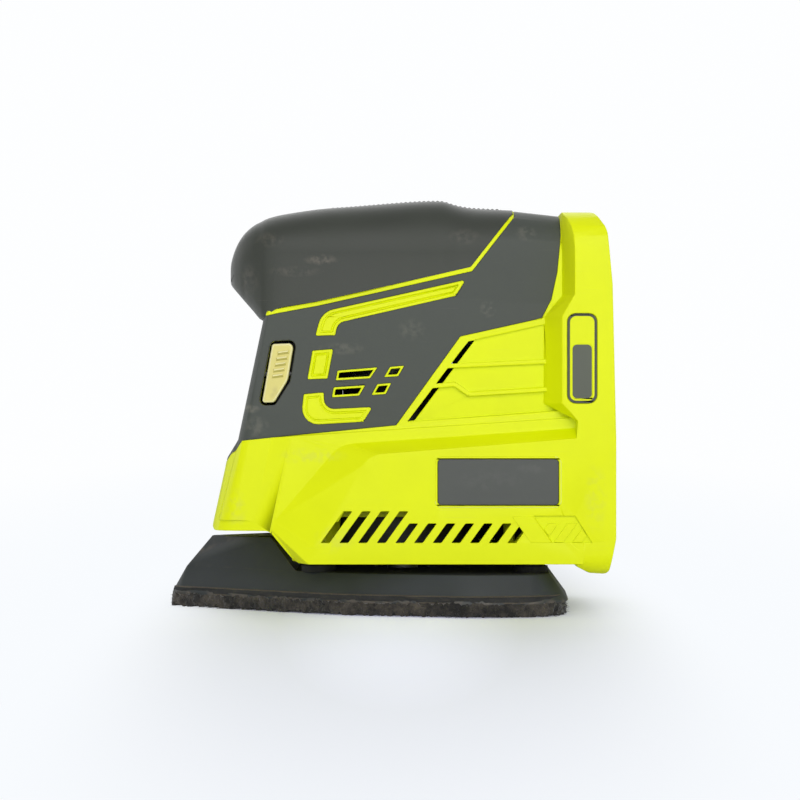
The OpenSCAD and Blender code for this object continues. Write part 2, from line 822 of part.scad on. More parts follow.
module motor_end_bell() {
    color(black_plastic) difference() {
        union() {
            translate([0, 0, motor_top]) cylinder(r = motor_radius - 0.5, h = bell_height);
            translate([0, 0, motor_top - 3])
                cylinder(r = motor_radius - can_wall - 0.1, h = 4);
        }
        translate([0, 0, motor_top - 4]) cylinder(r = 13, h = 6);
        translate([0, 0, motor_top - 5]) cylinder(r = 6, h = bell_height + 10);
    }
}
brush_low = motor_top - 7.5;
module brush_holders() {
    color("goldenrod") for (side = [-1, 1])
        translate([0, side * 10.4, 0])
            box([-3, -2.2, brush_low], [3, 2.2, motor_top + 2]);
}
module bearing_ring(outer, z0, z1) {
    difference() {
        ring(outer, bearing_bore, z0, z1);
        ring(outer - 1.8, shaft_radius + 1.6, z1 - 0.4, z1 + 1);
        ring(outer - 1.8, shaft_radius + 1.6, z0 - 1, z0 + 0.4);
    }
}
module upper_bearing() {
    color("silver") bearing_ring(6, bell_top - 4, bell_top);
}
module lower_bearing() {
    color("silver") bearing_ring(small_bearing_radius, shroud_top, bracket_top);
}
module motor_bracket() {
    color("gray") difference() {
        translate([0, 0, shroud_top])
            cylinder(r = shroud_radius, h = bracket_thickness, $fn = 64);
        translate([0, 0, shroud_top - 1])
            cylinder(r = small_bearing_radius, h = bracket_thickness + 2, $fn = 64);
        for (a = [30 : 60 : 330]) rotate([0, 0, a]) translate([22.5, 0, shroud_top - 1])
            cylinder(r = 2.6, h = bracket_thickness + 2);
    }
}

// ---------- fan chamber and dust port ----------
module fan_shroud() {
    color(black_plastic) difference() {
        union() {
            translate([0, 0, floor_z])
                cylinder(r = shroud_radius, h = shroud_top - floor_z, $fn = 64);
            rod_y(port_x, passage_z, passage_radius + passage_wall, 8, port_foot - seat_gap);
        }
        translate([0, 0, floor_z + 1.5])
            cylinder(r = chamber_radius, h = shroud_top - floor_z, $fn = 64);
        translate([0, 0, floor_z - 1]) cylinder(r = bottom_opening, h = 4, $fn = 64);
        rod_y(port_x, passage_z, passage_radius, 8, port_foot + 5);
        box([-reach, -reach, 0], [reach, reach, floor_z]);
        box([-reach, -reach, shroud_top], [reach, reach, reach]);
    }
}
module dust_port() {
    color(black_plastic) difference() {
        rod_y(port_x, port_z, port_radius + port_wall, port_foot, port_mouth);
        port_bores();
        rod_y(port_x, port_z, port_radius + 0.6, port_mouth - 1, port_mouth + 5);
    }
}

// ---------- rotor ----------
module motor_shaft() {
    color("silver") translate([0, 0, hub_foot + 1])
        cylinder(r = shaft_radius, h = shaft_top - hub_foot - 1);
}
armature_radius = magnet_radius - magnet_wall - 0.6;
armature_slots = 12;
module armature() {
    color("#8a4b20") difference() {
        union() {
            translate([0, 0, bracket_top + 10])
                cylinder(r = armature_radius, h = motor_length - 22, $fn = 64);
            translate([0, 0, bracket_top + 6])
                cylinder(r = armature_radius - 2.5, h = motor_length - 15, $fn = 64);
        }
        for (k = [0 : armature_slots - 1]) rotate([0, 0, k * 360 / armature_slots])
            box([armature_radius - 2.2, -0.7, 0], [reach, 0.7, reach]);
        translate([0, 0, 0]) cylinder(r = shaft_radius + eps, h = reach);
    }
}
module commutator() {
    color("#b87333") difference() {
        ring(7.4, shaft_radius + eps, motor_top - 8.4, motor_top + 1.4);
        for (k = [0 : 11]) rotate([0, 0, k * 30])
            box([6.6, -0.25, 0], [reach, 0.25, reach]);
    }
}
module fan() {
    color("#3a3d3f") difference() {
        union() {
            ring(hub_radius + 1.8, hub_radius + eps, fan_low, hub_top);
            ring(fan_radius, hub_radius + 1, fan_disc, hub_top);
            for (k = [0 : fan_blades - 1]) rotate([0, 0, k * 360 / fan_blades])
                rotate([0, 0, 14]) box([hub_radius + 1.4, -0.7, fan_low],
                                       [fan_radius - 0.6, 0.7, fan_disc + 0.1]);
        }
        translate([0, 0, 0]) cylinder(r = hub_radius + eps, h = reach, $fn = 64);
    }
}
weight_radius = bottom_opening - 2.5;
module eccentric_hub() {
    color("gray") difference() {
        union() {
            translate([0, 0, hub_foot]) cylinder(r = hub_radius, h = hub_top - hub_foot, $fn = 64);
            intersection() {
                translate([0, 0, hub_foot])
                    cylinder(r = weight_radius, h = weight_top - hub_foot, $fn = 64);
                box([-reach, -13, 0], [-4, 13, reach]);
            }
            translate([eccentricity, 0, bearing_low])
                cylinder(r = pin_radius, h = hub_foot - bearing_low + 1);
            translate([eccentricity, 0, bearing_high])
                cylinder(r = pin_radius + 1.4, h = hub_foot - bearing_high + 1);
        }
        translate([0, 0, hub_foot + 1]) cylinder(r = shaft_radius + eps, h = reach);
        translate([eccentricity, 0, bearing_low - 1]) cylinder(r = 2, h = 9);
    }
}
screw_head = 1.2;
module pad_screw() {
    color("silver") difference() {
        union() {
            translate([eccentricity, 0, plate_bottom + 0.3]) cylinder(r = 5.4, h = screw_head);
            translate([eccentricity, 0, plate_bottom + 1]) cylinder(r = 1.95, h = 8);
        }
        translate([eccentricity, 0, plate_bottom]) cylinder(r = 1.5, h = 1, $fn = 6);
    }
}

// ---------- pad ----------
half_width = pad_width / 2;
pad_outline = [[-pad_front - 0.91 * pad_tip_radius, 0, pad_tip_radius],
    [-20, 0.8 * half_width, 60], [24, half_width + 1, 40],
    [pad_rear - 2, half_width - 4, 14], [pad_rear, 0, 120],
    [pad_rear - 2, 4 - half_width, 14], [24, -half_width - 1, 40],
    [-20, -0.8 * half_width, 60]];
dust_holes = concat([for (a = [30 : 60 : 330]) dust_circle_radius * [cos(a), sin(a)]],
    [[-46, 9], [-46, -9], [44, 14], [44, -14]]);
nose_rear = -36;
module dust_hole_rods(r, z0, z1) {
    for (p = dust_holes) translate([p.x, p[1], z0]) cylinder(r = r, h = z1 - z0, $fn = 24);
}
module pad_layer(z0, z1) {
    difference() {
        along_z(z0, z1) polygon(rounded(pad_outline));
        dust_hole_rods(dust_hole_radius, z0 - 1, z1 + 1);
    }
}
module hook_sheet() {
    color("#1b1b1d") pad_layer(0, hook_thickness);
}
module foam_cushion() {
    color("#26292b") pad_layer(hook_thickness, plate_bottom);
}
module pad_body() {
    hull() {
        along_z(plate_bottom, rim_top) polygon(rounded(pad_outline));
        along_z(deck_top - eps, deck_top) polygon(rounded(inset(pad_outline, skirt_lean)));
    }
    hull() {
        intersection() {
            along_z(deck_top - eps, deck_top) polygon(rounded(inset(pad_outline, skirt_lean)));
            box([-reach, -reach, 0], [nose_rear, reach, reach]);
        }
        intersection() {
            along_z(deck_top + nose_rise - eps, deck_top + nose_rise)
                polygon(rounded(inset(pad_outline, skirt_lean + 2.6)));
            box([-reach, -reach, 0], [nose_rear - 9, reach, reach]);
        }
    }
}
pocket_wall = 6.5;
module pad_plate() {
    color("#33393a") difference() {
        pad_body();
        difference() {
            along_z(plate_bottom - 1, deck_top - deck_thickness)
                polygon(rounded(inset(pad_outline, pocket_wall)));
            translate([eccentricity, 0, 0]) cylinder(r = pad_bearing_radius + 2.6, h = reach);
            dust_hole_rods(dust_hole_radius + 1.6, 0, reach);
            for (post = posts, side = [-1, 1])
                translate([post.x, side * post.y, 0]) cylinder(r = post_radius + 1.4, h = reach);
            for (x = [-56, 34]) box([x - 0.9, -reach, 0], [x + 0.9, reach, reach]);
            box([-reach, -0.9, 0], [reach, 0.9, reach]);
        }
        dust_hole_rods(dust_hole_radius, plate_bottom - 1, deck_top + nose_rise + 1);
        translate([eccentricity, 0, bearing_low])
            cylinder(r = pad_bearing_radius, h = pad_bearing_width, $fn = 64);
        translate([eccentricity, 0, 0]) cylinder(r = pad_bearing_radius - 1.6, h = reach);
        for (post = posts, side = [-1, 1]) translate([post.x, side * post.y, 0]) {
            cylinder(r = post_screw_radius + 0.2, h = reach);
            cylinder(r = post_screw_head + 0.8, h = deck_top - deck_thickness);
        }
    }
}
module pad_bearing() {
    color("silver") translate([eccentricity, 0, 0]) difference() {
        ring(pad_bearing_radius - eps, pin_radius + running_fit, bearing_low, bearing_high);
        ring(pad_bearing_radius - 2, pin_radius + 2, bearing_high - 0.4, bearing_high + 1);
    }
}
module flex_posts() {
    color("#202224") for (post = posts, side = [-1, 1])
        translate([post.x, side * post.y, 0]) difference() {
            union() {
                translate([0, 0, deck_top]) cylinder(r = post_radius, h = post_top - deck_top);
                translate([0, 0, deck_top]) cylinder(r = post_radius + 1, h = 2);
            }
            translate([0, 0, deck_top - 1]) cylinder(r = post_screw_radius, h = 9);
        }
}
module post_screws() {
    color("silver") for (post = posts, side = [-1, 1])
        translate([post.x, side * post.y, 0]) {
            translate([0, 0, deck_top - deck_thickness - 2])
                cylinder(r = post_screw_head, h = 2);
            translate([0, 0, deck_top - deck_thickness - 1])
                cylinder(r = post_screw_radius - eps, h = deck_thickness + 7);
        }
}

// ---------- screws of the housing ----------
module housing_screws() {
    color("dimgray") for (p = bosses) {
        rod_y(p.x, p[1], screw_radius, -screw_tail, screw_head_depth + 1);
        difference() {
            rod_y(p.x, p[1], screw_head_radius, screw_head_depth, screw_head_depth + 2);
            translate([p.x, screw_head_depth + 3, p[1]]) rotate([90, 0, 0])
                cylinder(r = 1.4, h = 2, $fn = 6);
        }
    }
}

// ---------- switch ----------
// Thumb ridges across the rocker's face
ridge_count = 5;
ridge_pitch = 2.1;
ridge_height = 0.8;
ridge_depth = 0.5;
ridge_low = 81.2;
// The switch block behind the rocker
switch_inner = 6;
switch_start = -44.5;
switch_end = -35.5;
switch_low = rocker_pin_z - 10;
switch_high = rocker_pin_z + 11;
module switch_rocker() {
    color("#e3d083") difference() {
        union() {
            along_y(-rocker_face, -rocker_back) polygon(rounded(rocker_outline));
            for (k = [0 : ridge_count - 1])
                box([-42.4 - k * 0.2, -rocker_face - ridge_depth, ridge_low + k * ridge_pitch],
                    [-38.6, -rocker_face + ridge_depth,
                        ridge_low + ridge_height + k * ridge_pitch]);
        }
        translate([-49, rocker_pin_y, rocker_pin_z]) rotate([0, 90, 0])
            cylinder(r = rocker_pin_radius + running_fit, h = 20);
    }
}
module rocker_pin() {
    color("dimgray") translate([rocker_pin_start, rocker_pin_y, rocker_pin_z])
        rotate([0, 90, 0]) cylinder(r = rocker_pin_radius - eps, h = rocker_pin_length);
}
module switch_body() {
    color(black_plastic) difference() {
        box([switch_start, -switch_front, switch_low], [switch_end, -switch_inner, switch_high]);
        rod_y(plunger_x, rocker_pin_z + plunger_rise, plunger_radius + running_fit,
            -switch_front - 1, plunger_travel - plunger_length);
    }
}
module switch_plunger() {
    color("#d8d8d0") rod_y(plunger_x, rocker_pin_z + plunger_rise, plunger_radius,
        plunger_play - rocker_back, -plunger_length);
}

housing_left();
housing_right();
grip_left();
grip_right();
crown_strip_pad();
side_cover_left();
side_cover_right();
nameplate();
badge_plate();
battery_socket();
terminal_block();
terminal_blades();
motor_can();
motor_end_bell();
motor_magnets();
brush_holders();
upper_bearing();
lower_bearing();
motor_bracket();
fan_shroud();
dust_port();
housing_screws();
switch_body();
switch_rocker();
rocker_pin();
switch_plunger();
motor_shaft();
armature();
commutator();
fan();
eccentric_hub();
pad_bearing();
pad_screw();
pad_plate();
flex_posts();
post_screws();
foam_cushion();
hook_sheet();
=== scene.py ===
import json
import math
import random

import bmesh
import bpy
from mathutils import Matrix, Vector, noise

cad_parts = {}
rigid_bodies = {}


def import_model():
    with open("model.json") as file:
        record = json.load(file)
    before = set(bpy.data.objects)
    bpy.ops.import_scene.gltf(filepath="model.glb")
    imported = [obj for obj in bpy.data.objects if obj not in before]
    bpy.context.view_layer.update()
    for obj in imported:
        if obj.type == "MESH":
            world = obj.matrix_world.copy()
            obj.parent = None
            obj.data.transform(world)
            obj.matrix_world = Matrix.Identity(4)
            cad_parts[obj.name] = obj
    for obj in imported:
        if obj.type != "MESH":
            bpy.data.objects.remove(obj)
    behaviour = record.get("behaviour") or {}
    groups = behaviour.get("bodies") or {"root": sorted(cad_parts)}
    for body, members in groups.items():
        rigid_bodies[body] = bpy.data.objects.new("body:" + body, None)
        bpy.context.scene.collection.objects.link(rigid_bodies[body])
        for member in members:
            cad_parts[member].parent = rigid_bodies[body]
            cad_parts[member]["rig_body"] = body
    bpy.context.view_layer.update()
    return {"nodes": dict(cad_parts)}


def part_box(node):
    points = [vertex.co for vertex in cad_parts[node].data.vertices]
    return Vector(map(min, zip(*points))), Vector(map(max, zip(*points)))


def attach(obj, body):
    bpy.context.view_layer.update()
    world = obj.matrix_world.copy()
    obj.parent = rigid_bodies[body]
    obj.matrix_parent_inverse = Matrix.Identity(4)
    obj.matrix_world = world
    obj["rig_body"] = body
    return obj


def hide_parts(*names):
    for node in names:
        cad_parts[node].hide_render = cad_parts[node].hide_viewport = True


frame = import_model()


# ---------------------------------------------------------------------------
# Camera, floor and lamps. The sander stands on its pad and is seen square on
# from the switch side, 0.8 m away, under broad soft lamps in a pale room.
# ---------------------------------------------------------------------------
def feed(node, inputs):
    """Gives each named socket of a node a constant, or links it to another node's output."""
    for socket, value in dict(inputs).items():
        if isinstance(value, bpy.types.NodeSocket):
            node.id_data.links.new(value, node.inputs[socket])
        else:
            node.inputs[socket].default_value = value


def add_node(tree, kind, inputs=(), out=0, **settings):
    """Adds a shader node, feeds it, and returns the output asked for."""
    node = tree.nodes.new("ShaderNode" + kind)
    for setting, value in settings.items():
        setattr(node, setting, value)
    feed(node, inputs)
    return node.outputs[out] if node.outputs else None


def ramp(tree, value, low, high, bottom=0.0, top=1.0, easing="LINEAR"):
    """Maps the stretch from low to high onto bottom to top, level beyond both ends."""
    return add_node(tree, "MapRange", {"Value": value, "From Min": low, "From Max": high,
                                       "To Min": bottom, "To Max": top},
                    interpolation_type=easing)


def combined(tree, operation, *values):
    """One step of arithmetic on values of a material."""
    return add_node(tree, "Math", enumerate(values), operation=operation)


camera_distance = 0.8
camera_height = 0.073
bpy.ops.object.select_all(action="DESELECT")
bpy.ops.object.camera_add(location=(0.0, -camera_distance, camera_height),
                          rotation=(math.pi / 2, 0.0, 0.0))
camera = bpy.context.object
camera.data.lens = 101.1
camera.data.sensor_width = 36.0
camera.data.clip_start = 0.05
bpy.context.scene.camera = camera

bpy.ops.mesh.primitive_plane_add(size=12.0, location=(0.0, 0.0, 0.0))
floor = bpy.context.object
floor.name = "floor"
floor_material = bpy.data.materials.new("pale_floor")
floor_material.use_nodes = True
tree = floor_material.node_tree
tree.nodes.clear()
# Distance from the tool, measured so that a long oval round the pad counts as near
place = add_node(tree, "TexCoord", out="Object")
oval = add_node(tree, "Mapping", {"Vector": place, "Scale": (1.35, 0.2, 1.0)})
distance = add_node(tree, "VectorMath", {0: oval}, out="Value", operation="LENGTH")
seen = add_node(tree, "LightPath", out="Is Camera Ray")
# Near the pad the bare floor keeps its shadow, with a painted glow added that lifts it a little
# where it is darkest
lift = combined(tree, "MULTIPLY", ramp(tree, distance, 0.02, 0.055, 1.0, 0.25), seen)
bare = add_node(tree, "BsdfDiffuse", {"Color": (0.86, 0.88, 0.905, 1.0)})
painted_glow = add_node(tree, "Emission", {"Color": (0.2, 0.205, 0.27, 1.0), "Strength": lift})
paint = add_node(tree, "AddShader", {0: bare, 1: painted_glow})
# Farther out it fades to an even near-white
whiter = add_node(tree, "Mix", {"Factor": ramp(tree, distance, 0.1, 0.6, easing="SMOOTHSTEP"),
                                6: (0.94, 0.965, 0.995, 1.0), 7: (0.985, 0.993, 1.0, 1.0)},
                  out=2, data_type="RGBA")
glow = add_node(tree, "Emission", {"Color": whiter})
fade = combined(tree, "MULTIPLY", ramp(tree, distance, 0.05, 0.14, easing="SMOOTHERSTEP"), seen)
blend = add_node(tree, "MixShader", {"Fac": fade, 1: paint, 2: glow})
add_node(tree, "OutputMaterial", {"Surface": blend})
floor.data.materials.append(floor_material)

room = bpy.data.worlds.new("white_room")
room.use_nodes = True
bpy.context.scene.world = room
tree = room.node_tree
tree.nodes.clear()
seen = add_node(tree, "LightPath", out="Is Camera Ray")
seen_through = seen.node.outputs["Is Transmission Ray"]
shown = combined(tree, "MAXIMUM", seen, seen_through)
soft_light = add_node(tree, "Background", {"Color": (0.97, 0.985, 1.0, 1.0), "Strength": 0.42})
white = add_node(tree, "Background", {"Color": (0.985, 0.993, 1.0, 1.0), "Strength": 1.0})
blend = add_node(tree, "MixShader", {"Fac": shown, 1: soft_light, 2: white})
add_node(tree, "OutputWorld", {"Surface": blend})

lamp_aim = Vector((0.0, 0.0, 0.07))
for place_at, size, power in (
    ((0.1, -1.15, 0.52), 0.9, 8.2),
    ((-1.1, 0.35, 0.35), 0.6, 2.0),
    ((0.9, -0.5, 0.4), 0.8, 0.6),
    ((-0.1, 0.9, 0.9), 1.0, 5.6),
):
    bpy.ops.object.light_add(type="AREA", location=place_at)
    lamp = bpy.context.object
    lamp.data.size = size
    lamp.data.energy = power
    lamp.rotation_euler = (lamp_aim - Vector(place_at)).to_track_quat("-Z", "Y").to_euler()
bpy.context.scene.view_settings.view_transform = "Standard"


# ---------------------------------------------------------------------------
# Housing: two clamshell halves, injection moulded in lime-green nylon with a
# fine spark-eroded finish and small moulding radii on every edge. The halves
# are screwed together.
# ---------------------------------------------------------------------------
def select_only(piece):
    """Leaves one piece selected and active, for the operators that follow."""
    bpy.ops.object.select_all(action="DESELECT")
    piece.select_set(True)
    bpy.context.view_layer.objects.active = piece


def clamp(value):
    """A value held between 0 and 1."""
    return min(1.0, max(0.0, value))


def moulded_copy(name, node, radius, segments=2, merged=False, coarse_above=None):
    """A copy of a CAD node, in its place, with its edges rounded. merged joins level faces
    first; above the height coarse_above, edges between narrow faces stay sharp."""
    weld = 0.000012
    shortest_side = 0.00006
    level = math.radians(0.3)
    edge_turn = math.radians(28.0)
    narrowest, narrowest_above = 0.00004, 0.0003
    smooth_turn = math.radians(38 if merged else 22)
    piece = bpy.data.objects.new(name, frame["nodes"][node].data.copy())
    bpy.context.scene.collection.objects.link(piece)
    piece.data.materials.clear()
    select_only(piece)
    bpy.ops.object.mode_set(mode="EDIT")
    bpy.ops.mesh.select_all(action="SELECT")
    bpy.ops.mesh.remove_doubles(threshold=weld)
    bpy.ops.mesh.dissolve_degenerate(threshold=shortest_side)
    if coarse_above is None:
        bpy.ops.mesh.beautify_fill(angle_limit=level)
    if merged:
        bpy.ops.mesh.dissolve_limited(angle_limit=level)
    bpy.ops.object.mode_set(mode="OBJECT")
    # Only true edges are rounded, never the side of a sliver in the surface
    form = bmesh.new()
    form.from_mesh(piece.data)
    weight = form.edges.layers.float.new("bevel_weight_edge")
    for edge in form.edges:
        faces = edge.link_faces
        true_edge = len(faces) == 2 and edge.calc_face_angle() > edge_turn
        breadth = [2 * f.calc_area() / max(e.calc_length() for e in f.edges) for f in faces]
        coarse = coarse_above is not None and edge.verts[0].co.z > coarse_above
        limit = narrowest_above if coarse else narrowest
        edge[weight] = float(true_edge and min(breadth) > limit)
    form.to_mesh(piece.data)
    form.free()
    rounding = piece.modifiers.new("moulding_radius", "BEVEL")
    rounding.width = radius
    rounding.segments = segments
    rounding.limit_method = "WEIGHT"
    rounding.use_clamp_overlap = False
    rounding.miter_outer = "MITER_ARC"
    bpy.ops.object.modifier_apply(modifier=rounding.name)
    bpy.ops.object.shade_smooth_by_angle(angle=smooth_turn)
    shading = piece.modifiers.new("true_faces", "WEIGHTED_NORMAL")
    shading.keep_sharp = True
    shading.mode = "FACE_AREA_WITH_ANGLE"
    bpy.ops.object.modifier_apply(modifier=shading.name)
    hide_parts(node)
    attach(piece, frame["nodes"][node]["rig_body"])
    return piece


def new_finish(name):
    """A material, its tree, its skin shader, and the place that its patterns are laid out on."""
    material = bpy.data.materials.new(name)
    material.use_nodes = True
    tree = material.node_tree
    place = add_node(tree, "TexCoord", out="Object")
    return material, tree, tree.nodes["Principled BSDF"], place


def cloud(tree, place, scale, detail, roughness=0.5):
    """A soft random pattern."""
    return add_node(tree, "TexNoise", {"Vector": place, "Scale": scale, "Detail": detail,
                                       "Roughness": roughness})


def coloured_plastic(name, colour, roughness, grain, grain_height, mottling=0.04, marks=(),
                     mark_colour=(0.2, 0.2, 0.18), sheen=0.0, mirror=0.5):
    """Moulded plastic or rubber: a slightly mottled colour, a fine grain, faint
    scratches, and scuffs at marks given as (x, z, half width, half height, strength)."""
    material, tree, skin, place = new_finish(name)
    patches = cloud(tree, place, 38.0, 6.0, 0.6)
    tone = ramp(tree, patches, 0.3, 0.7, 1.0 - mottling, 1.0 + mottling)
    tint = add_node(tree, "Mix", {"Factor": 1.0, 6: (*colour, 1.0), 7: tone}, out=2,
                    data_type="RGBA", blend_type="MULTIPLY")
    # Hairline scratches: clouds drawn out along two slanting directions
    hairlines = []
    for turn, spread in ((0.6, 900.0), (-0.9, 1300.0)):
        lie = add_node(tree, "Mapping", {"Vector": place, "Rotation": (0.0, turn, 0.0),
                                         "Scale": (28.0, 28.0, spread)})
        hairlines.append(ramp(tree, cloud(tree, lie, 1.0, 2.0), 0.7, 0.78, top=0.16))
    wear = combined(tree, "MAXIMUM", *hairlines)
    if marks:
        rubbed = ramp(tree, cloud(tree, place, 420.0, 4.0), 0.42, 0.62)
    for x, z, half_width, half_height, strength in marks:
        spot = add_node(tree, "Mapping", {"Vector": place, "Location": (x, -0.045, z),
                                          "Scale": (half_width, 0.045, half_height)},
                        vector_type="TEXTURE")
        reach = add_node(tree, "VectorMath", {0: spot}, out="Value", operation="LENGTH")
        inside = ramp(tree, reach, 1.1, 0.5, top=strength)
        wear = combined(tree, "MAXIMUM", wear, combined(tree, "MULTIPLY", inside, rubbed))
    scuffed = add_node(tree, "Mix", {"Factor": wear, 6: tint, 7: (*mark_colour, 1.0)}, out=2,
                       data_type="RGBA")
    relief = add_node(tree, "Bump", {"Height": cloud(tree, place, grain, 3.0),
                                     "Strength": 0.35, "Distance": grain_height})
    feed(skin, {"Base Color": scuffed, "Normal": relief,
                "Roughness": ramp(tree, patches, 0.0, 1.0, roughness - 0.07, roughness + 0.09),
                "Specular IOR Level": mirror, "Sheen Weight": sheen, "Sheen Roughness": 0.4})
    return material


lime_nylon = coloured_plastic(
    "lime_nylon", (0.77, 0.85, 0.0), 0.42, 2600.0, 0.00003, 0.03,
    marks=((-0.056, 0.036, 0.004, 0.007, 0.35), (-0.03, 0.054, 0.012, 0.003, 0.3),
           (-0.022, 0.026, 0.007, 0.005, 0.3), (0.066, 0.04, 0.004, 0.012, 0.25)),
    mark_colour=(0.62, 0.66, 0.1), mirror=0.22,
)
# A painted shade for the insides of the halves, seen dark through the louvres
painted_shade_inside = coloured_plastic("painted_shade_inside", (0.03, 0.032, 0.02), 0.8, 1500.0, 0.00005, 0.2)
# The front leans back in two lines, the green foot below and the cover above:
# each a height, where the front is at that height, and how fast it goes back above it
foot_top = 0.0545
foot_line = (0.0325, -0.0663, 0.235)
cover_line = (0.0593, -0.0572, 0.2126)
front_depth = 0.0055
front_setback = 0.0015
front_top, front_fade = 0.107, 0.006


def set_front(piece):
    """Sets the front few millimetres of a moulding back along the whole lean."""
    for vertex in piece.data.vertices:
        x, y, z = vertex.co
        height, at, lean = foot_line if z < foot_top else cover_line
        share = clamp((at + (z - height) * lean + front_depth - x) / front_depth)
        vertex.co.x += front_setback * share * clamp((front_top - z) / front_fade)


# The inner faces around the louvres get a painted shade: dark, as the unlit inside seen through
# the slots
painted_shade_heights = (0.0215, 0.0345)
painted_shade_reach = 0.05
for half in ("housing_left", "housing_right"):
    shell = moulded_copy(half + "_shell", half, 0.0003, coarse_above=0.057)
    set_front(shell)
    shell.data.materials.append(lime_nylon)
    shell.data.materials.append(painted_shade_inside)
    for face in shell.data.polygons:
        x, y, z = face.center
        inward = face.normal.y * (1.0 if y < 0.0 else -1.0) > 0.2
        if inward and abs(x) < painted_shade_reach and painted_shade_heights[0] < z < painted_shade_heights[1]:
            face.material_index = 1


# ---------------------------------------------------------------------------
# Side covers: dark grey elastomer moulded over the upper sides and the front
# of each half, 2 mm thick, flush with the green inlays that pass through it.
# ---------------------------------------------------------------------------
side_rubber = coloured_plastic(
    "side_rubber", (0.055, 0.063, 0.053), 0.6, 1500.0, 0.00006, 0.09,
    marks=((-0.049, 0.064, 0.0045, 0.004, 0.3), (-0.051, 0.07, 0.0035, 0.0016, 0.5),
           (-0.02, 0.0905, 0.009, 0.0022, 0.25), (0.004, 0.097, 0.005, 0.004, 0.2),
           (0.03, 0.104, 0.003, 0.003, 0.35), (0.043, 0.13, 0.004, 0.003, 0.3)),
    mark_colour=(0.2, 0.19, 0.15), sheen=0.16,
)
for half in ("side_cover_left", "side_cover_right"):
    cover = moulded_copy(half + "_skin", half, 0.00035, merged=True)
    set_front(cover)
    cover.data.materials.append(side_rubber)


# ---------------------------------------------------------------------------
# Grip: the palm grip's soft cover, one smooth dark grey elastomer moulding per
# half from the seam line up, moulded over the housing, with a parting line
# along the crown and the screw wells open on the far half.
# ---------------------------------------------------------------------------
def meshed(name, drawing):
    """A curve made into a mesh piece."""
    piece = bpy.data.objects.new(name, drawing)
    bpy.context.scene.collection.objects.link(piece)
    select_only(piece)
    bpy.ops.object.convert(target="MESH")
    return bpy.context.object


def side_plate(name, outline, near, far):
    """A flat solid of an outline drawn on the side view, from one depth to another."""
    drawing = bpy.data.curves.new(name, "CURVE")
    drawing.dimensions = "2D"
    drawing.fill_mode = "BOTH"
    line = drawing.splines.new("POLY")
    line.points.add(len(outline) - 1)
    for point, (along, up) in zip(line.points, outline):
        point.co = (along, up, 0.0, 1.0)
    line.use_cyclic_u = True
    drawing.extrude = (far - near) / 2
    plate = meshed(name, drawing)
    plate.rotation_euler = (math.pi / 2, 0.0, 0.0)
    plate.location = (0.0, (near + far) / 2, 0.0)
    bpy.ops.object.transform_apply(location=True, rotation=True, scale=True)
    bpy.ops.object.mode_set(mode="EDIT")
    bpy.ops.mesh.select_all(action="SELECT")
    bpy.ops.mesh.remove_doubles(threshold=0.00001)
    bpy.ops.mesh.normals_make_consistent(inside=False)
    bpy.ops.object.mode_set(mode="OBJECT")
    return plate


def cut(piece, tool, operation="DIFFERENCE"):
    """Cuts a piece with a tool, or keeps what both share, and removes the tool."""
    select_only(piece)
    step = piece.modifiers.new("cut", "BOOLEAN")
    step.operation = operation
    step.object = tool
    step.solver = "EXACT"
    bpy.ops.object.modifier_apply(modifier=step.name)
    bpy.data.objects.remove(tool)


def join_rings(form, rings):
    """Bands of faces from each ring of corners to the next."""
    return [
        form.faces.new((near[i], near[(i + 1) % len(near)], far[(i + 1) % len(near)], far[i]))
        for near, far in zip(rings, rings[1:])
        for i in range(len(near))
    ]


def closed_piece(name, form):
    """A piece made from a finished form, its faces turned outwards."""
    bmesh.ops.recalc_face_normals(form, faces=form.faces)
    piece = bpy.data.objects.new(name, bpy.data.meshes.new(name))
    bpy.context.scene.collection.objects.link(piece)
    form.to_mesh(piece.data)
    form.free()
    return piece


grip_rubber = coloured_plastic(
    "grip_rubber", (0.034, 0.0385, 0.029), 0.56, 1500.0, 0.00006, 0.1,
    marks=((-0.027, 0.121, 0.006, 0.002, 0.5), (-0.045, 0.128, 0.006, 0.003, 0.2),
           (0.022, 0.129, 0.006, 0.003, 0.18), (-0.036, 0.117, 0.01, 0.002, 0.2),
           (-0.052, 0.114, 0.004, 0.006, 0.2)),
    mark_colour=(0.17, 0.145, 0.115), sheen=0.28,
)
# Stations from the front to the seam: x, half width, underside, crown, shoulder radius
grip_stations = (
    (-0.0594, 0.0110, 0.1139, 0.1198, 0.0028), (-0.0590, 0.0160, 0.1130, 0.1225, 0.0045),
    (-0.0577, 0.0208, 0.1115, 0.1260, 0.0065), (-0.0560, 0.0238, 0.1096, 0.1293, 0.0085),
    (-0.0538, 0.0262, 0.1071, 0.1321, 0.0105), (-0.0508, 0.0284, 0.1038, 0.1345, 0.0120),
    (-0.0482, 0.0297, 0.1008, 0.1358, 0.0130), (-0.0455, 0.0308, 0.0985, 0.1370, 0.0135),
    (-0.0400, 0.0314, 0.0980, 0.1383, 0.0140), (-0.0280, 0.0315, 0.0980, 0.1401, 0.0145),
    (-0.0160, 0.0315, 0.0990, 0.1410, 0.0145), (-0.0010, 0.0315, 0.1000, 0.1422, 0.0150),
    (0.0070, 0.0315, 0.1006, 0.1427, 0.0150), (0.0125, 0.0316, 0.1012, 0.1428, 0.0150),
    (0.0153, 0.0316, 0.1012, 0.1426, 0.0150), (0.0195, 0.0318, 0.1012, 0.1413, 0.0150),
    (0.0235, 0.0318, 0.1012, 0.1405, 0.0150), (0.0280, 0.0319, 0.1012, 0.1401, 0.0150),
    (0.0420, 0.0324, 0.1012, 0.1395, 0.0140),
)
widest_at = 0.1235
crown_drop = 0.0022
underside_radius = 0.005
# Below the widest line the side leans in, then stands out to meet the side cover
lean_below, lean_height = 0.0014, 0.018
flush_step, flush_from, flush_run = 0.0034, -0.0535, 0.006
# A shallow bead marks the widest line, and the shoulder starts above it
bead_depth, bead_height = 0.00022, 0.0022
shoulder_rise = 0.0016


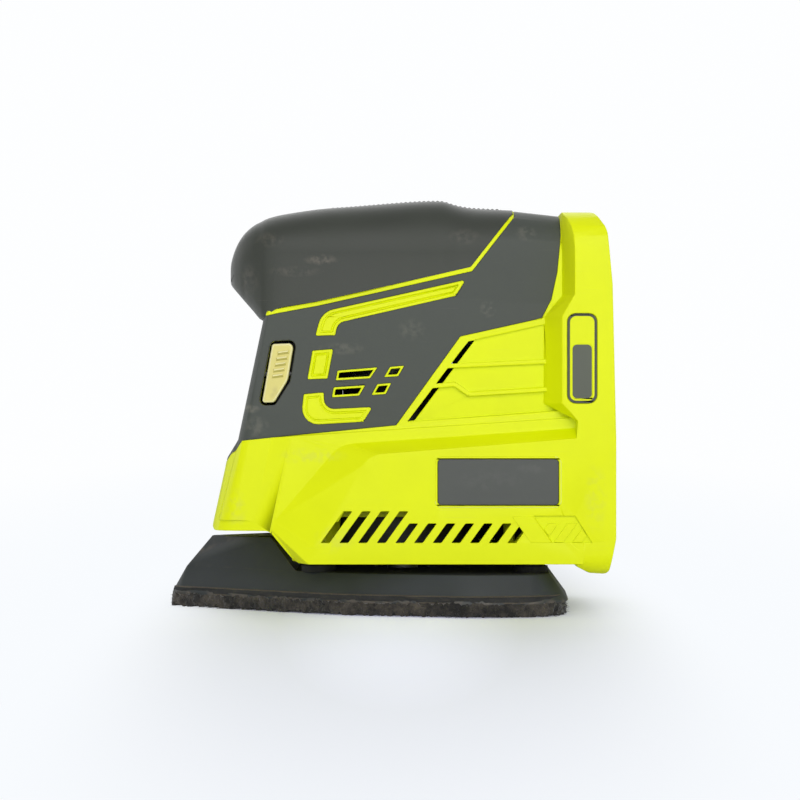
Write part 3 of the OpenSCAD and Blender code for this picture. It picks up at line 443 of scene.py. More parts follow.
def grip_ring(x, half, low, top, shoulder):
    """One cross section of the grip, from the middle of its underside round to the crown."""
    foot = min(shoulder, underside_radius)
    high = top - crown_drop * ((half - shoulder) / half) ** 2
    waist = min(max(widest_at, low + foot), high - shoulder)
    lean = lean_below * min(1.0, (waist - low) / lean_height)
    base = half - lean + clamp((x - flush_from) / flush_run) * flush_step
    outline = [(0.0, low), ((half - foot) * 0.5, low)]
    for turn in range(0, 91, 15):
        angle = math.radians(turn)
        outline.append((base - foot + foot * math.sin(angle),
                        low + foot - foot * math.cos(angle)))
    outline.append((half - bead_depth, waist - bead_height))
    outline.append((half, waist))
    for turn in range(0, 91, 9):
        angle = math.radians(turn)
        outline.append((half - shoulder + shoulder * math.cos(angle),
                        waist + shoulder_rise + (high - waist - shoulder_rise) * math.sin(angle)))
    for step in (0.8, 0.6, 0.4, 0.2, 0.0):
        across = (half - shoulder) * step
        outline.append((across, top - crown_drop * (across / half) ** 2))
    return [Vector((x, y, z)) for y, z in outline + [(-y, z) for y, z in outline[-2:0:-1]]]


def between(stations, steps):
    """Stations filled in smoothly between the given ones."""
    filled = []
    for i in range(len(stations) - 1):
        a, b = stations[i], stations[i + 1]
        before = stations[max(0, i - 1)]
        after = stations[min(len(stations) - 1, i + 2)]
        for step in range(steps):
            t = step / steps
            filled.append(tuple(
                0.5 * (2 * q + (r - p) * t + (2 * p - 5 * q + 4 * r - s) * t * t
                       + (3 * q - p - 3 * r + s) * t ** 3)
                for p, q, r, s in zip(before, a, b, after)
            ))
    return filled + [stations[-1]]


form = bmesh.new()
rings = [[form.verts.new(p) for p in grip_ring(*station)]
         for station in between(grip_stations, 5)]
join_rings(form, rings)
form.faces.new(rings[0][::-1])
form.faces.new(rings[-1])
grip = closed_piece("grip_form", form)

# The seam on the side view, closed well above and ahead of the grip
seam_line = ((-0.0800, 0.0990), (-0.0475, 0.1010), (-0.0455, 0.1019), (-0.0440, 0.1030),
             (-0.0423, 0.1041), (-0.0399, 0.1049), (-0.0324, 0.1060), (-0.0284, 0.1067),
             (0.0064, 0.1145), (0.0242, 0.1185), (0.0388, 0.1373), (0.0400, 0.1515),
             (-0.0800, 0.1515))
half_gap = 0.00006
well_radius = 0.0033
for half, near, far in (("grip_left", -0.06, -half_gap), ("grip_right", half_gap, 0.06)):
    side = grip.copy()
    side.data = grip.data.copy()
    side.name = half + "_cover"
    bpy.context.scene.collection.objects.link(side)
    cut(side, side_plate("seam_cut", seam_line, near, far), "INTERSECT")
    if half == "grip_right":
        for along, up in ((-0.042, 0.118), (0.012, 0.124)):
            bpy.ops.mesh.primitive_cylinder_add(
                vertices=32, radius=well_radius, depth=0.03, location=(along, 0.034, up),
                rotation=(math.pi / 2, 0.0, 0.0),
            )
            cut(side, bpy.context.object)
    select_only(side)
    bpy.ops.object.shade_smooth_by_angle(angle=math.radians(50))
    side.data.materials.append(grip_rubber)
    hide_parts(half)
    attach(side, "housing")


# ---------------------------------------------------------------------------
# Crown strip: the textured palm pad let into the top of the grip, a softer
# patch of the same elastomer with fine cross ridges, wider towards the rear.
# ---------------------------------------------------------------------------
strip_front = -0.026
strip_length = 0.062
strip_inset = 0.0002
front_half_width, widening = 0.0088, 0.005
corner = 0.005
ridge_pitch, ridge_height = 0.0016, 0.00042
bed_height = 0.00002
skin_height = 0.00004
strip_depth = 0.002


def strip_place(x):
    """How far x is from the strip's nearer end, and the strip's half width there."""
    share = (x - strip_front) / strip_length
    return min(share, 1.0 - share) * strip_length, front_half_width + widening * share


bpy.ops.object.select_all(action="DESELECT")
bpy.ops.mesh.primitive_grid_add(x_subdivisions=200, y_subdivisions=40, size=1.0,
                                location=(strip_front + strip_length / 2, 0.0, 0.16))
strip = bpy.context.object
strip.name = "crown_strip"
strip.scale = (strip_length - 2 * strip_inset, 1.0, 1.0)
bpy.ops.object.transform_apply(location=True, rotation=False, scale=True)
for vertex in strip.data.vertices:
    end, half_width = strip_place(vertex.co.x)
    if end < corner:
        half_width -= corner - math.sqrt(corner ** 2 - (corner - end) ** 2)
    vertex.co.y *= 2 * half_width
lay = strip.modifiers.new("laid_in_the_grip", "SHRINKWRAP")
lay.target = grip
lay.wrap_method = "PROJECT"
lay.use_project_z = True
lay.use_negative_direction = True
lay.use_positive_direction = False
bpy.ops.object.modifier_apply(modifier=lay.name)
for vertex in strip.data.vertices:
    end, half_width = strip_place(vertex.co.x)
    rim = min(1.0, (half_width - abs(vertex.co.y)) / 0.0012, end / 0.001)
    ridge = 0.5 + 0.5 * math.sin(2 * math.pi * vertex.co.x / ridge_pitch)
    vertex.co.z += bed_height + max(0.0, rim) * (skin_height + ridge_height * ridge ** 0.7)
bpy.ops.object.mode_set(mode="EDIT")
bpy.ops.mesh.select_all(action="SELECT")
bpy.ops.mesh.extrude_region_move(TRANSFORM_OT_translate={"value": (0.0, 0.0, -strip_depth)})
bpy.ops.mesh.select_all(action="SELECT")
bpy.ops.mesh.normals_make_consistent(inside=False)
bpy.ops.object.mode_set(mode="OBJECT")
bpy.ops.object.shade_smooth_by_angle(angle=math.radians(50))
strip_rubber = coloured_plastic(
    "crown_strip_rubber", (0.06, 0.068, 0.055), 0.72, 1800.0, 0.00008, 0.12, sheen=0.3
)
strip.data.materials.append(strip_rubber)
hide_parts("crown_strip_pad")
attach(strip, "housing")
bpy.data.objects.remove(grip)


# ---------------------------------------------------------------------------
# Nameplate: a bare plate in satin dark grey plastic, glued into the proud
# switch side inside a fine green rim that is moulded with the housing.
# ---------------------------------------------------------------------------
def soften(piece, width, segments=2):
    """Rounds a piece's sharp edges and shades it, its faces true to themselves."""
    sharp = math.radians(40)
    select_only(piece)
    bpy.ops.object.shade_smooth_by_angle(angle=sharp)
    rounding = piece.modifiers.new("softened_edges", "BEVEL")
    rounding.width = width
    rounding.segments = segments
    rounding.limit_method = "ANGLE"
    rounding.angle_limit = sharp
    rounding.use_clamp_overlap = False
    rounding.harden_normals = True
    bpy.ops.object.modifier_apply(modifier=rounding.name)


def within(node, inset):
    """The rectangle of a CAD plate on the side view, drawn in by an inset."""
    low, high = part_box(node)
    return low[0] + inset, low[2] + inset, high[0] - inset, high[2] - inset


def rounded_plate(name, rectangle, radius, near, far):
    """A rectangle with round corners on the side view, as a solid between two depths."""
    low_x, low_z, high_x, high_z = rectangle
    corners = ((high_x - radius, high_z - radius, 0), (low_x + radius, high_z - radius, 90),
               (low_x + radius, low_z + radius, 180), (high_x - radius, low_z + radius, 270))
    outline = [
        (x + radius * math.cos(math.radians(start + turn)),
         z + radius * math.sin(math.radians(start + turn)))
        for x, z, start in corners
        for turn in range(0, 91, 15)
    ]
    return side_plate(name, outline, near, far)


plate_plastic = coloured_plastic(
    "plate_plastic", (0.06, 0.066, 0.059), 0.4, 2600.0, 0.00002, 0.05,
    marks=((0.03, 0.046, 0.012, 0.004, 0.12), (0.045, 0.05, 0.006, 0.002, 0.2)),
    mark_colour=(0.14, 0.14, 0.13),
)
plate = rounded_plate("nameplate_face", within("nameplate", 0.00005), 0.0013, -0.04195, -0.041)
soften(plate, 0.00022)
plate.data.materials.append(plate_plastic)
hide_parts("nameplate")
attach(plate, "housing")

rim = rounded_plate("nameplate_rim", within("nameplate", -0.00085), 0.0021, -0.04225, -0.0418)
gap = rounded_plate("nameplate_gap", within("nameplate", -0.00005), 0.0014, -0.0430, -0.0410)
cut(rim, gap)
soften(rim, 0.00018, 1)
lime_painted_highlight = coloured_plastic("lime_rubbed_edge", (0.86, 0.91, 0.3), 0.35, 2600.0, 0.00002)
rim.data.materials.append(lime_nylon)
rim.data.materials.append(lime_painted_highlight)
# The outer edge's sloping faces along the foot and the rear get a painted highlight in a paler
# green
for face in rim.data.polygons:
    x, y, z = face.center
    outer = not (0.0122 < x < 0.0541 and 0.037 < z < 0.0536)
    if outer and 0.3 < -face.normal.y < 0.95 and (x > 0.05 or z < 0.045):
        face.material_index = 1
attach(rim, "housing")


# ---------------------------------------------------------------------------
# Badge: a bare plate in the housing's green with a dark printed ring and a
# dark lower field, glued into the collar on the switch side.
# ---------------------------------------------------------------------------
badge_ink = coloured_plastic("badge_ink", (0.085, 0.095, 0.07), 0.5, 2600.0, 0.00003, 0.1)
badge = rounded_plate("badge_field", within("badge_plate", 0.00005), 0.0028, -0.04185, -0.041)
opening = rounded_plate("badge_opening", within("badge_plate", 0.00045), 0.0024,
                        -0.0425, -0.0416)
cut(badge, opening)
badge.data.materials.append(badge_ink)
soften(badge, 0.00012)
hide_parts("badge_plate")
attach(badge, "housing")

window_low_x, window_low_z, window_high_x, window_high_z = 0.05805, 0.0734, 0.06495, 0.0919
face = rounded_plate("badge_face", within("badge_plate", 0.00085), 0.0021, -0.04185, -0.04155)
window = rounded_plate("badge_window", (window_low_x, window_low_z, window_high_x, window_high_z),
                       0.0017, -0.0425, -0.04168)
cut(face, window)
soften(face, 0.00012)
face.data.materials.append(lime_nylon)
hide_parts("badge_plate")
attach(face, "housing")

field_gap = 0.0002
field = rounded_plate(
    "badge_lower_field",
    (window_low_x + field_gap, window_low_z + field_gap,
     window_high_x - field_gap, window_high_z - field_gap),
    0.0015, -0.04176, -0.04165,
)
soften(field, 0.00004)
field.data.materials.append(badge_ink)
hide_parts("badge_plate")
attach(field, "housing")


# ---------------------------------------------------------------------------
# Blind louvres: the louvre row ends at a slanting band, and behind the band it
# goes on as three blind bars in a shallow pocket, all moulded with the half.
# ---------------------------------------------------------------------------
row_foot, row_top = 0.0248, 0.0337
bar_foot, bar_top = 0.0249, 0.0314
pocket = side_plate("blind_pocket", ((0.0452, 0.0339), (0.0590, 0.0339), (0.0648, row_foot),
                                     (0.0516, row_foot)), -0.044, -0.04115)
cut(bpy.data.objects["housing_left_shell"], pocket)
band = side_plate("louvre_end_band", ((0.0378, row_top), (0.0449, row_top), (0.0512, row_foot),
                                      (0.0441, row_foot)), -0.04222, -0.0410)
soften(band, 0.0002)
band.data.materials.append(lime_nylon)
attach(band, "housing")
for k, outline in enumerate((
    ((0.0503, 0.0269), (0.0535, bar_top), (0.0502, bar_top), (0.0486, 0.0292)),
    ((0.0519, bar_foot), (0.0551, bar_foot), (0.0598, bar_top), (0.0566, bar_top)),
    ((0.0581, bar_foot), (0.0614, bar_foot), (0.0630, 0.0272), (0.0615, 0.0296)),
)):
    bar = side_plate("blind_bar_%d" % (k + 1), outline, -0.04185, -0.0409)
    soften(bar, 0.0002)
    bar.data.materials.append(lime_nylon)
    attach(bar, "housing")


# ---------------------------------------------------------------------------
# Switch button: a beige polyamide rocker with five thumb ridges, bored for the
# steel pin it turns on, in its own dark well.
# ---------------------------------------------------------------------------
beige_plastic = coloured_plastic(
    "beige_plastic", (0.72, 0.64, 0.19), 0.45, 2600.0, 0.00002, 0.05,
    marks=((-0.0425, 0.075, 0.002, 0.003, 0.3),), mark_colour=(0.4, 0.34, 0.15),
)
# A painted highlight in a paler beige, for edges and ledges that face the light
painted_highlight_edge = coloured_plastic("beige_rubbed_edge", (0.84, 0.78, 0.38), 0.4, 2600.0, 0.00002)
# A painted shade in a darker beige, for the grooves at the ridges' roots
painted_shade = coloured_plastic("beige_soiled_groove", (0.5, 0.44, 0.1), 0.55, 2600.0, 0.00002, 0.1)
rocker_outline = (
    (-0.0464, 0.0721), (-0.0433, 0.0722), (-0.0425, 0.0728), (-0.0386, 0.0793),
    (-0.0381, 0.0808), (-0.03655, 0.0904), (-0.0366, 0.0912), (-0.0370, 0.0919),
    (-0.0377, 0.0923), (-0.04295, 0.0921), (-0.0436, 0.0916), (-0.0469, 0.0728),
)
# Depths from the back to the face, and how far the outline is drawn in at each
rocker_depths = ((-0.0287, 0.0), (-0.0344, 0.0), (-0.0348, 0.00022), (-0.03495, 0.0006))
pin_hole_radius = 0.00125
form = bmesh.new()
layers = []
for y, inset in rocker_depths:
    ring = []
    for i, (x, z) in enumerate(rocker_outline):
        before, after = rocker_outline[i - 1], rocker_outline[(i + 1) % len(rocker_outline)]
        into = Vector((x - before[0], z - before[1])).normalized()
        away = Vector((after[0] - x, after[1] - z)).normalized()
        side = Vector((-into.y - away.y, into.x + away.x))
        side *= inset / (0.5 * side.length_squared)
        ring.append(form.verts.new((x + side.x, y, z + side.y)))
    layers.append(ring)
join_rings(form, layers)
form.faces.new(layers[0][::-1])
form.faces.new(layers[-1])
rocker = closed_piece("rocker_button", form)
bpy.ops.mesh.primitive_cylinder_add(
    vertices=32, radius=pin_hole_radius, depth=0.02, location=(-0.041, -0.0304, 0.082),
    rotation=(0.0, math.pi / 2, 0.0),
)
cut(rocker, bpy.context.object)
select_only(rocker)
bpy.ops.object.shade_smooth_by_angle(angle=math.radians(20))
rocker.data.materials.append(beige_plastic)
rocker.data.materials.append(painted_highlight_edge)
# The chamfer round the thumb face gets a painted highlight
for face in rocker.data.polygons:
    if 0.3 < -face.normal.y < 0.99 and face.center.y < -0.034:
        face.material_index = 1
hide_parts("switch_rocker")
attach(rocker, "rocker")

# Each ridge is a bar across the thumb face, in a section of (up, depth) corners; its lit sides
# carry a painted highlight and its root a painted shade, each a finish of its own
first_ridge, ridge_step = Vector((-0.04165, 0.08135)), Vector((0.00047, 0.00198))
ridge_face = -0.03492
ridge_half_length, end_slope, ridge_tilt = 0.00195, 0.0003, 0.00026
ridge_section = ((0.00048, 0.0002), (0.00042, -0.0002), (0.0002, -0.00055),
                 (-0.00005, -0.00058), (-0.0007, -0.0002), (-0.00085, 0.0002))
plain_side, painted_highlight_side, painted_shade_side = 0, 1, 2
ridge_sides = (plain_side, painted_highlight_side, painted_highlight_side, painted_shade_side, painted_shade_side, plain_side)
for k in range(5):
    along = first_ridge.x + ridge_step.x * k
    up = first_ridge.y + ridge_step.y * k
    form = bmesh.new()
    ends = [
        [form.verts.new((along + end * (ridge_half_length - (end_slope if y < -0.0003 else 0.0)),
                         ridge_face + y, up + z + ridge_tilt * end)) for z, y in ridge_section]
        for end in (-1, 1)
    ]
    for side, finish in zip(join_rings(form, ends), ridge_sides):
        side.material_index = finish
    form.faces.new(ends[0][::-1])
    form.faces.new(ends[1])
    ridge = closed_piece("rocker_ridge_%d" % (k + 1), form)
    for finish in (beige_plastic, painted_highlight_edge, painted_shade):
        ridge.data.materials.append(finish)
    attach(ridge, "rocker")


# ---------------------------------------------------------------------------
# Pad plate: the orbiting sole, injection moulded in satin blue-grey glass filled nylon, with a
# raised nose, a sloping skirt and brownish edges, partly worn and partly a painted highlight.
# ---------------------------------------------------------------------------
def two_tone(tree, value, *tones):
    """Turns a value into colours between two tones, each a (place, colour) pair."""
    colours = add_node(tree, "ValToRGB", {"Fac": value})
    for element, (at, colour) in zip(colours.node.color_ramp.elements, tones):
        element.position = at
        element.color = (*colour, 1.0)
    return colours


pad_plastic, tree, skin, place = new_finish("pad_plastic")
patches = cloud(tree, place, 45.0, 7.0)
tone = two_tone(tree, patches, (0.3, (0.0185, 0.0228, 0.0228)), (0.7, (0.0278, 0.0335, 0.0345)))
# Dust packed along the rim of the foot
height = add_node(tree, "SeparateXYZ", {"Vector": place}, out="Z")
rim_dust = ramp(tree, height, 0.0062, 0.0049, top=0.85)
broken = ramp(tree, cloud(tree, place, 260.0, 4.0), 0.42, 0.62)
dust = combined(tree, "MULTIPLY", rim_dust, broken)
# Edges lighter and browner than the faces: partly rubbed wear, partly a painted highlight
rounded = add_node(tree, "Bevel", {"Radius": 0.0005})
true_normal = add_node(tree, "NewGeometry", out="True Normal")
turned = add_node(tree, "VectorMath", {0: rounded, 1: true_normal}, out="Value",
                  operation="DOT_PRODUCT")
edge_wear_and_painted_highlight = combined(tree, "MULTIPLY", ramp(tree, turned, 0.975, 0.93, top=0.8), broken)
coat = add_node(tree, "Mix", {"Factor": combined(tree, "MAXIMUM", dust, edge_wear_and_painted_highlight), 6: tone,
                              7: (0.105, 0.088, 0.068, 1.0)}, out=2, data_type="RGBA")
relief = add_node(tree, "Bump", {"Height": cloud(tree, place, 1900.0, 3.0), "Strength": 0.3,
                                 "Distance": 0.00004})
feed(skin, {"Base Color": coat, "Normal": relief,
            "Roughness": ramp(tree, patches, 0.0, 1.0, 0.4, 0.58)})
# A painted shade for the deck under the housing
deck_painted_shade = coloured_plastic("pad_deck_plastic", (0.012, 0.014, 0.014), 0.8, 1200.0,
                                0.00005, 0.2)

sole = moulded_copy("pad_sole", "pad_plate", 0.0005)
# The nose slopes more than the skirt behind it, and both ends flare out at the foot:
# height, how far the nose goes back, how far the tail goes back
slopes = ((0.0036, 0.0, 0.0), (0.0048, -0.0001, 0.0016), (0.0079, -0.0020, 0.0015),
          (0.0111, -0.0015, 0.0008), (0.0143, -0.0003, 0.0), (0.0175, 0.0010, 0.0),
          (0.0207, 0.0030, 0.0), (0.0239, 0.0045, 0.0), (0.0260, 0.0047, 0.0))
nose_root, nose_reach = -0.052, 0.018
tail_root, tail_reach = 0.046, 0.008
for vertex in sole.data.vertices:
    x, y, z = vertex.co
    for (low, nose_low, tail_low), (high, nose_high, tail_high) in zip(slopes, slopes[1:]):
        if low <= z <= high:
            share = (z - low) / (high - low)
            nose = nose_low + (nose_high - nose_low) * share
            tail = tail_low + (tail_high - tail_low) * share
            vertex.co.x += nose * clamp((nose_root - x) / nose_reach)
            vertex.co.x += tail * clamp((x - tail_root) / tail_reach)
sole.data.materials.append(pad_plastic)
sole.data.materials.append(deck_painted_shade)
# The level deck behind the raised nose, under the housing, gets a painted shade, dark as it lies
# in the housing's shadow
deck_top, deck_front = 0.0175, -0.04
for face in sole.data.polygons:
    if face.normal.z > 0.95 and face.center.z < deck_top and face.center.x > deck_front:
        face.material_index = 1


# ---------------------------------------------------------------------------
# Foam cushion: a thin dark closed-cell foam sheet bonded under the sole, with
# the dust holes punched through. Its cut edge is slightly wavy, and it stands
# up round the foot of the sole and hides the sole's rim.
# ---------------------------------------------------------------------------
def pad_edge(node, spacing):
    """Points along the outer edge of a pad layer, evenly spaced, with outward directions."""
    corners = {(round(v.co.x, 6), round(v.co.y, 6)) for v in frame["nodes"][node].data.vertices}
    loose = bmesh.new()
    for x, y in corners:
        loose.verts.new((x, y, 0.0))
    around = bmesh.ops.convex_hull(loose, input=loose.verts)
    kept = [v.co.copy() for v in around["geom"] if isinstance(v, bmesh.types.BMVert)]
    loose.free()
    middle = Vector((-0.005, 0.0, 0.0))
    kept.sort(key=lambda p: math.atan2(p.y - middle.y, p.x - middle.x))
    even = []
    left_over = 0.0
    for a, b in zip(kept, kept[1:] + kept[:1]):
        length = (b - a).length
        step = left_over
        while step < length:
            even.append(a.lerp(b, step / length))
            step += spacing
        left_over = step - length
    ahead = even[1:] + even[:1]
    behind = even[-1:] + even[:-1]
    return [
        (p, Vector((q.y - r.y, r.x - q.x, 0.0)).normalized())
        for p, q, r in zip(even, ahead, behind)
    ]


def edged_sheet(name, edge, levels, push, lift):
    """A sheet whose wall is a stack of rings pushed in or out and lifted, closed flat above
    and below."""
    form = bmesh.new()
    rings = [
        [form.verts.new(p + out * push(p, z, level) + Vector((0.0, 0.0, z + lift(p, level))))
         for p, out in edge]
        for level, z in enumerate(levels)
    ]
    join_rings(form, rings)
    form.faces.new(rings[-1])
    form.faces.new(rings[0][::-1])
    return closed_piece(name, form)


dust_hole_radius = 0.0035
dust_ring_radius = 0.024
dust_holes = [(dust_ring_radius * math.cos(math.radians(turn)),
               dust_ring_radius * math.sin(math.radians(turn))) for turn in range(30, 360, 60)]
dust_holes += [(-0.046, 0.009), (-0.046, -0.009), (0.044, 0.014), (0.044, -0.014)]


def punch(sheet):
    """Punches the dust holes through a sheet."""
    for x, y in dust_holes:
        bpy.ops.mesh.primitive_cylinder_add(vertices=36, radius=dust_hole_radius, depth=0.02,
                                            location=(x, y, 0.0))
        cut(sheet, bpy.context.object)


# Heights of the edge's rings. The last two turn in over the rim and down inside it.
foam_levels = (0.00125, 0.0018, 0.0025, 0.0032, 0.0039, 0.0046, 0.0053, 0.0060, 0.0066, 0.0070,
               0.0072, 0.0073, 0.0037)
lip_level = foam_levels.index(0.0072)


def foam_wave(p, z, level):
    """How far the foam's cut edge wanders out at a point."""
    if level > lip_level:
        return -0.0026
    slow = noise.noise(Vector((p.x * 90, p.y * 90, z * 900)))
    quick = noise.noise(Vector((p.x * 600, p.y * 600, z * 1500)))
    drawn_in = 0.0006 if level == lip_level else 0.0
    return -0.0001 - drawn_in + 0.0005 * slow + 0.0003 * quick


foam = edged_sheet("foam_sheet", pad_edge("foam_cushion", 0.0009), foam_levels, foam_wave,
                   lambda p, level: 0.0)
punch(foam)
bpy.ops.object.shade_smooth_by_angle(angle=math.radians(50))
cushion_foam, tree, skin, place = new_finish("cushion_foam")
tone = two_tone(tree, cloud(tree, place, 180.0, 8.0, 0.7),
                (0.35, (0.017, 0.018, 0.018)), (0.75, (0.034, 0.033, 0.030)))
# Brown dust and torn skin in streaks that run along the edge
along = add_node(tree, "Mapping", {"Vector": place, "Scale": (110.0, 110.0, 900.0)})
streaks = cloud(tree, along, 1.0, 7.0, 0.65)
torn_skin = combined(tree, "MULTIPLY", ramp(tree, streaks, 0.55, 0.68), 0.35)
# and in two thin painted highlight lines, brownish, at two heights along the edge
height = add_node(tree, "SeparateXYZ", {"Vector": place}, out="Z")
wander = combined(tree, "MULTIPLY_ADD", streaks, 0.0006, height)
painted_highlight_lines = []
for level in (0.0051, 0.0074):
    apart = combined(tree, "ABSOLUTE", combined(tree, "SUBTRACT", wander, level))
    painted_highlight_lines.append(ramp(tree, apart, 0.00032, 0.00018, top=0.8))
dust_and_painted_highlight = combined(tree, "MAXIMUM", combined(tree, "MAXIMUM", *painted_highlight_lines), torn_skin)
brown = add_node(tree, "Mix", {"Factor": dust_and_painted_highlight, 6: tone, 7: (0.1, 0.082, 0.062, 1.0)}, out=2,
                 data_type="RGBA")
cells = add_node(tree, "TexVoronoi", {"Vector": place, "Scale": 2200.0}, out="Distance")
relief = add_node(tree, "Bump", {"Height": cells, "Strength": 0.6, "Distance": 0.0002})
feed(skin, {"Base Color": brown, "Normal": relief, "Roughness": 0.85})
foam.data.materials.append(cushion_foam)
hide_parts("foam_cushion")
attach(foam, "pad")


# ---------------------------------------------------------------------------
# Hook sheet: the hook fastening fabric glued under the foam. Its edge is torn
# and frayed all round, with a brownish felt of loose fibres that curls up
# over the foam in places.
# ---------------------------------------------------------------------------
hook_edge = pad_edge("hook_sheet", 0.00045)
hook_levels = (0.0, 0.0001, 0.0009, 0.0018, 0.0027, 0.0036, 0.0042, 0.0040)
curl_shares = (0.0, 1.0, 0.9, 0.8, 0.6, 0.6, 0.7, 0.5)


def torn(p, z, level):
    """How far the torn edge is drawn in or out at a point."""
    if level == 0:
        return -0.0034
    coarse = noise.noise(Vector((p.x * 120, p.y * 120, 3.0 + level * 0.35)))
    fine = noise.noise(Vector((p.x * 900, p.y * 900, 9.0 + level * 1.7)))
    drawn_in = 0.0012 if level == len(hook_levels) - 1 else 0.0
    return 0.0006 + 0.0006 * coarse + 0.0008 * fine - drawn_in


def bite(p):
    """Where tufts are torn up or bitten away along the edge."""
    return noise.noise(Vector((p.x * 260, p.y * 260, 7.0)))


def curled(p, level):
    """How far a ring of the torn edge is lifted off the ground at a point."""
    wave = noise.noise(Vector((p.x * 60, p.y * 60, 5.0)))
    tuft = noise.noise(Vector((p.x * 900, p.y * 900, 2.0 + level)))
    lifted = max(0.0, 0.0004 + 0.0008 * wave + 0.0012 * bite(p) + 0.0015 * tuft)
    return lifted * curl_shares[level]


hook = edged_sheet("hook_fabric_sheet", hook_edge, hook_levels, torn, curled)
for vertex in hook.data.vertices:
    vertex.co.z = max(0.0, vertex.co.z)
punch(hook)
bpy.ops.object.shade_smooth_by_angle(angle=math.radians(60))
for face in hook.data.polygons:
    face.use_smooth = face.use_smooth and abs(face.normal.z) < 0.99
hook_fabric, tree, skin, place = new_finish("hook_fabric")
tone = two_tone(tree, cloud(tree, place, 150.0, 9.0, 0.75),
                (0.42, (0.012, 0.011, 0.010)), (0.66, (0.085, 0.072, 0.058)))
loops = add_node(tree, "TexVoronoi", {"Vector": place, "Scale": 1400.0}, out="Distance")
relief = add_node(tree, "Bump", {"Height": loops, "Strength": 0.8, "Distance": 0.0003})
feed(skin, {"Base Color": tone, "Normal": relief, "Roughness": 0.95, "Sheen Weight": 0.25})
hook.data.materials.append(hook_fabric)
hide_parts("hook_sheet")
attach(hook, "pad")

# Loose fibres along the torn edge, each a short bent thread that thins to its tip
random.seed(11)
thread_count = 4200
thread_points = 4
lowest = 0.00008
threads = bpy.data.curves.new("frayed_threads", "CURVE")
threads.dimensions = "3D"
threads.bevel_depth = 0.00005
threads.bevel_resolution = 0
for _ in range(thread_count):
    p, out = random.choice(hook_edge)
    out = (out + Vector((random.uniform(-1.0, 1.0), random.uniform(-1.0, 1.0), 0.0))).normalized()
    foot = p - out * random.uniform(0.0002, 0.0010)
    length = random.uniform(0.0006, 0.0020) * (1.4 if bite(p) > 0.15 else 1.0)
    start = random.uniform(0.0003, 0.0042)
    tip = start + random.uniform(-0.9, 0.3) * length
    sag = random.uniform(-0.0002, 0.0002)
    line = threads.splines.new("POLY")
    line.points.add(thread_points - 1)
    for step, point in enumerate(line.points):
        share = step / (thread_points - 1)
        at = foot + out * length * share
        up = start + (tip - start) * share + sag * math.sin(math.pi * share)
        point.co = (at.x, at.y, max(lowest, up), 1.0)
        point.radius = 1.0 - 0.7 * share
fray = meshed("frayed_threads", threads)
fray.data.materials.append(hook_fabric)
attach(fray, "pad")


# ---------------------------------------------------------------------------
# Battery socket, terminal block, dust port, fan shroud, end bell and switch
# block: black glass-filled plastic, as moulded, screwed or snapped into the
# halves. The socket and the port open to the rear and the far side.
# ---------------------------------------------------------------------------
black_plastic = coloured_plastic("black_plastic", (0.028, 0.029, 0.028), 0.5, 2200.0, 0.00004,
                                 0.15)
for node, radius in (("battery_socket", 0.0003), ("terminal_block", 0.0002),
                     ("dust_port", 0.0002), ("fan_shroud", 0.0003), ("motor_end_bell", 0.0002),
                     ("switch_body", 0.0003)):
    part = moulded_copy(node + "_moulding", node, radius, 1)
    part.data.materials.append(black_plastic)


# ---------------------------------------------------------------------------
# Drive and fasteners: motor, bearings, eccentric hub, fan, posts and screws,
# inside the housing or under it. They keep the solids' own forms; each gets
# the finish of its real material.
# ---------------------------------------------------------------------------
def metal(name, colour, roughness, brushed=(300.0, 300.0, 300.0)):
    """A metal with a faint patchy sheen; brushed gives the pattern's scale along X, Y and Z."""
    material, tree, skin, place = new_finish(name)
    lie = add_node(tree, "Mapping", {"Vector": place, "Scale": brushed})
    gloss = ramp(tree, cloud(tree, lie, 1.0, 5.0), 0.0, 1.0, roughness - 0.1, roughness + 0.15)
    feed(skin, {"Base Color": (*colour, 1.0), "Metallic": 1.0, "Roughness": gloss})
    return material


plated = metal("zinc_plated_steel", (0.62, 0.62, 0.6), 0.32)
bearing_steel = metal("ground_bearing_steel", (0.55, 0.55, 0.55), 0.22, (150.0, 150.0, 2500.0))
cast = metal("cast_zinc_alloy", (0.42, 0.42, 0.41), 0.5, (600.0, 600.0, 600.0))
black_steel = metal("black_oxide_steel", (0.09, 0.09, 0.09), 0.4)
copper = metal("copper_bars", (0.72, 0.36, 0.2), 0.3, (200.0, 200.0, 2500.0))
brass = metal("brass_holders", (0.62, 0.46, 0.2), 0.35)
ferrite = coloured_plastic("ferrite", (0.05, 0.05, 0.052), 0.6, 1500.0, 0.00005, 0.12)
winding = coloured_plastic("lacquered_winding", (0.32, 0.12, 0.045), 0.35, 900.0, 0.0002, 0.2)
fan_plastic = coloured_plastic("fan_plastic", (0.03, 0.031, 0.032), 0.45, 2200.0, 0.00003)
pale_plastic = coloured_plastic("pale_plastic", (0.6, 0.6, 0.56), 0.45, 2200.0, 0.00003)
# The flex posts' rubber is a painted shade, near black, so the posts read as the dark gap under
# the housing
post_rubber = coloured_plastic("post_rubber", (0.012, 0.012, 0.012), 0.8, 1200.0, 0.00008, 0.15)
for finish, nodes in (
    (plated, ("terminal_blades",)),
    (bearing_steel, ("upper_bearing", "lower_bearing", "pad_bearing", "motor_shaft")),
    (cast, ("motor_bracket", "eccentric_hub")),
    (black_steel, ("motor_can", "rocker_pin", "housing_screws", "pad_screw", "post_screws")),
    (copper, ("commutator",)),
    (brass, ("brush_holders",)),
    (ferrite, ("motor_magnets",)),
    (winding, ("armature",)),
    (fan_plastic, ("fan",)),
    (pale_plastic, ("switch_plunger",)),
    (post_rubber, ("flex_posts",)),
):
    for node in nodes:
        solid = frame["nodes"][node]
        solid.data.materials.clear()
        solid.data.materials.append(finish)


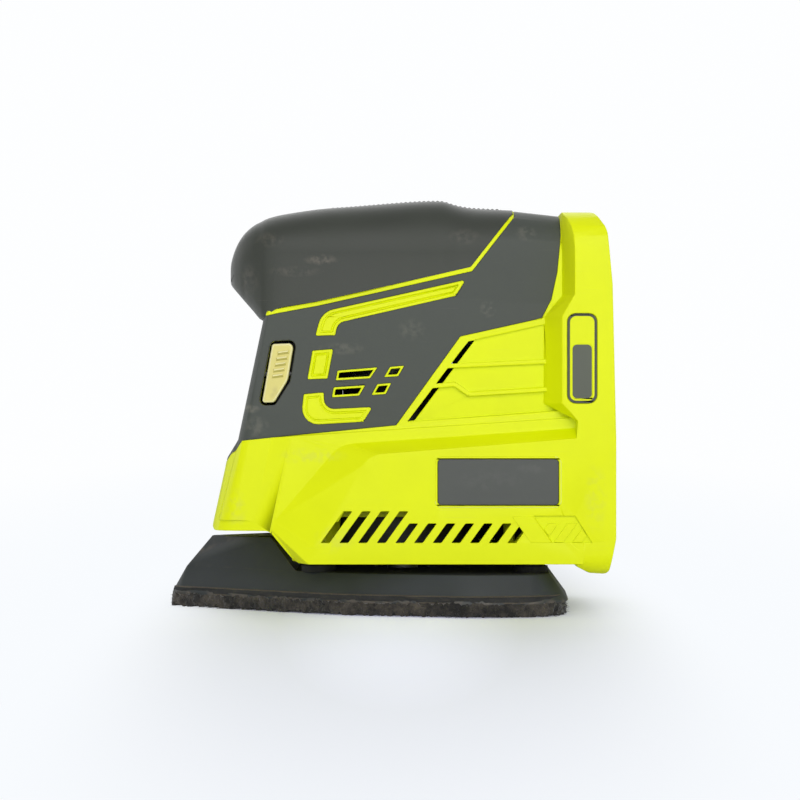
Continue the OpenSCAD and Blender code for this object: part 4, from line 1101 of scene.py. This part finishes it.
# ---------------------------------------------------------------------------
# Leads: black insulated wires from the switch block and from the terminal
# block, run down beside the motor and over its end bell to the brushes.
# ---------------------------------------------------------------------------
lead_radius = 0.0011
lead_insulation = coloured_plastic("lead_insulation", (0.012, 0.012, 0.012), 0.8, 1500.0,
                                   0.00003)
for name, route in (
    ("switch_lead_1", ((-0.0410, -0.0070, 0.078), (-0.0330, -0.0050, 0.066),
                       (-0.0250, -0.0040, 0.062), (-0.0234, -0.0040, 0.072),
                       (-0.0234, -0.0040, 0.090), (-0.0180, -0.0060, 0.1005),
                       (-0.0060, -0.0110, 0.0995))),
    ("switch_lead_2", ((-0.0410, -0.0070, 0.088), (-0.0310, -0.0020, 0.076),
                       (-0.0230, -0.0010, 0.060), (-0.0215, -0.0010, 0.072),
                       (-0.0215, -0.0010, 0.090), (-0.0160, 0.0050, 0.1005),
                       (-0.0060, 0.0110, 0.0995))),
    ("motor_lead_1", ((-0.0191, 0.0000, 0.056), (-0.0191, 0.0000, 0.072),
                      (-0.0191, 0.0000, 0.090), (-0.0140, 0.0000, 0.1005),
                      (0.0000, -0.0050, 0.1015), (0.0140, 0.0000, 0.1005),
                      (0.0191, 0.0000, 0.090), (0.0191, 0.0000, 0.064))),
    ("battery_lead_1", ((0.0240, -0.0030, 0.1040), (0.0216, -0.0020, 0.1000),
                        (0.0212, -0.0015, 0.0850), (0.0212, -0.0015, 0.0620))),
    ("battery_lead_2", ((0.0240, 0.0030, 0.1080), (0.0229, 0.0015, 0.1020),
                        (0.0227, 0.0010, 0.0850), (0.0227, 0.0010, 0.0660))),
):
    path = bpy.data.curves.new(name, "CURVE")
    path.dimensions = "3D"
    path.bevel_depth = lead_radius
    path.bevel_resolution = 3
    path.resolution_u = 6
    path.use_fill_caps = True
    line = path.splines.new("BEZIER")
    line.bezier_points.add(len(route) - 1)
    for point, place_at in zip(line.bezier_points, route):
        point.co = place_at
        point.handle_left_type = "AUTO"
        point.handle_right_type = "AUTO"
    lead = meshed(name, path)
    bpy.ops.object.shade_smooth()
    lead.data.materials.append(lead_insulation)
    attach(lead, "housing")
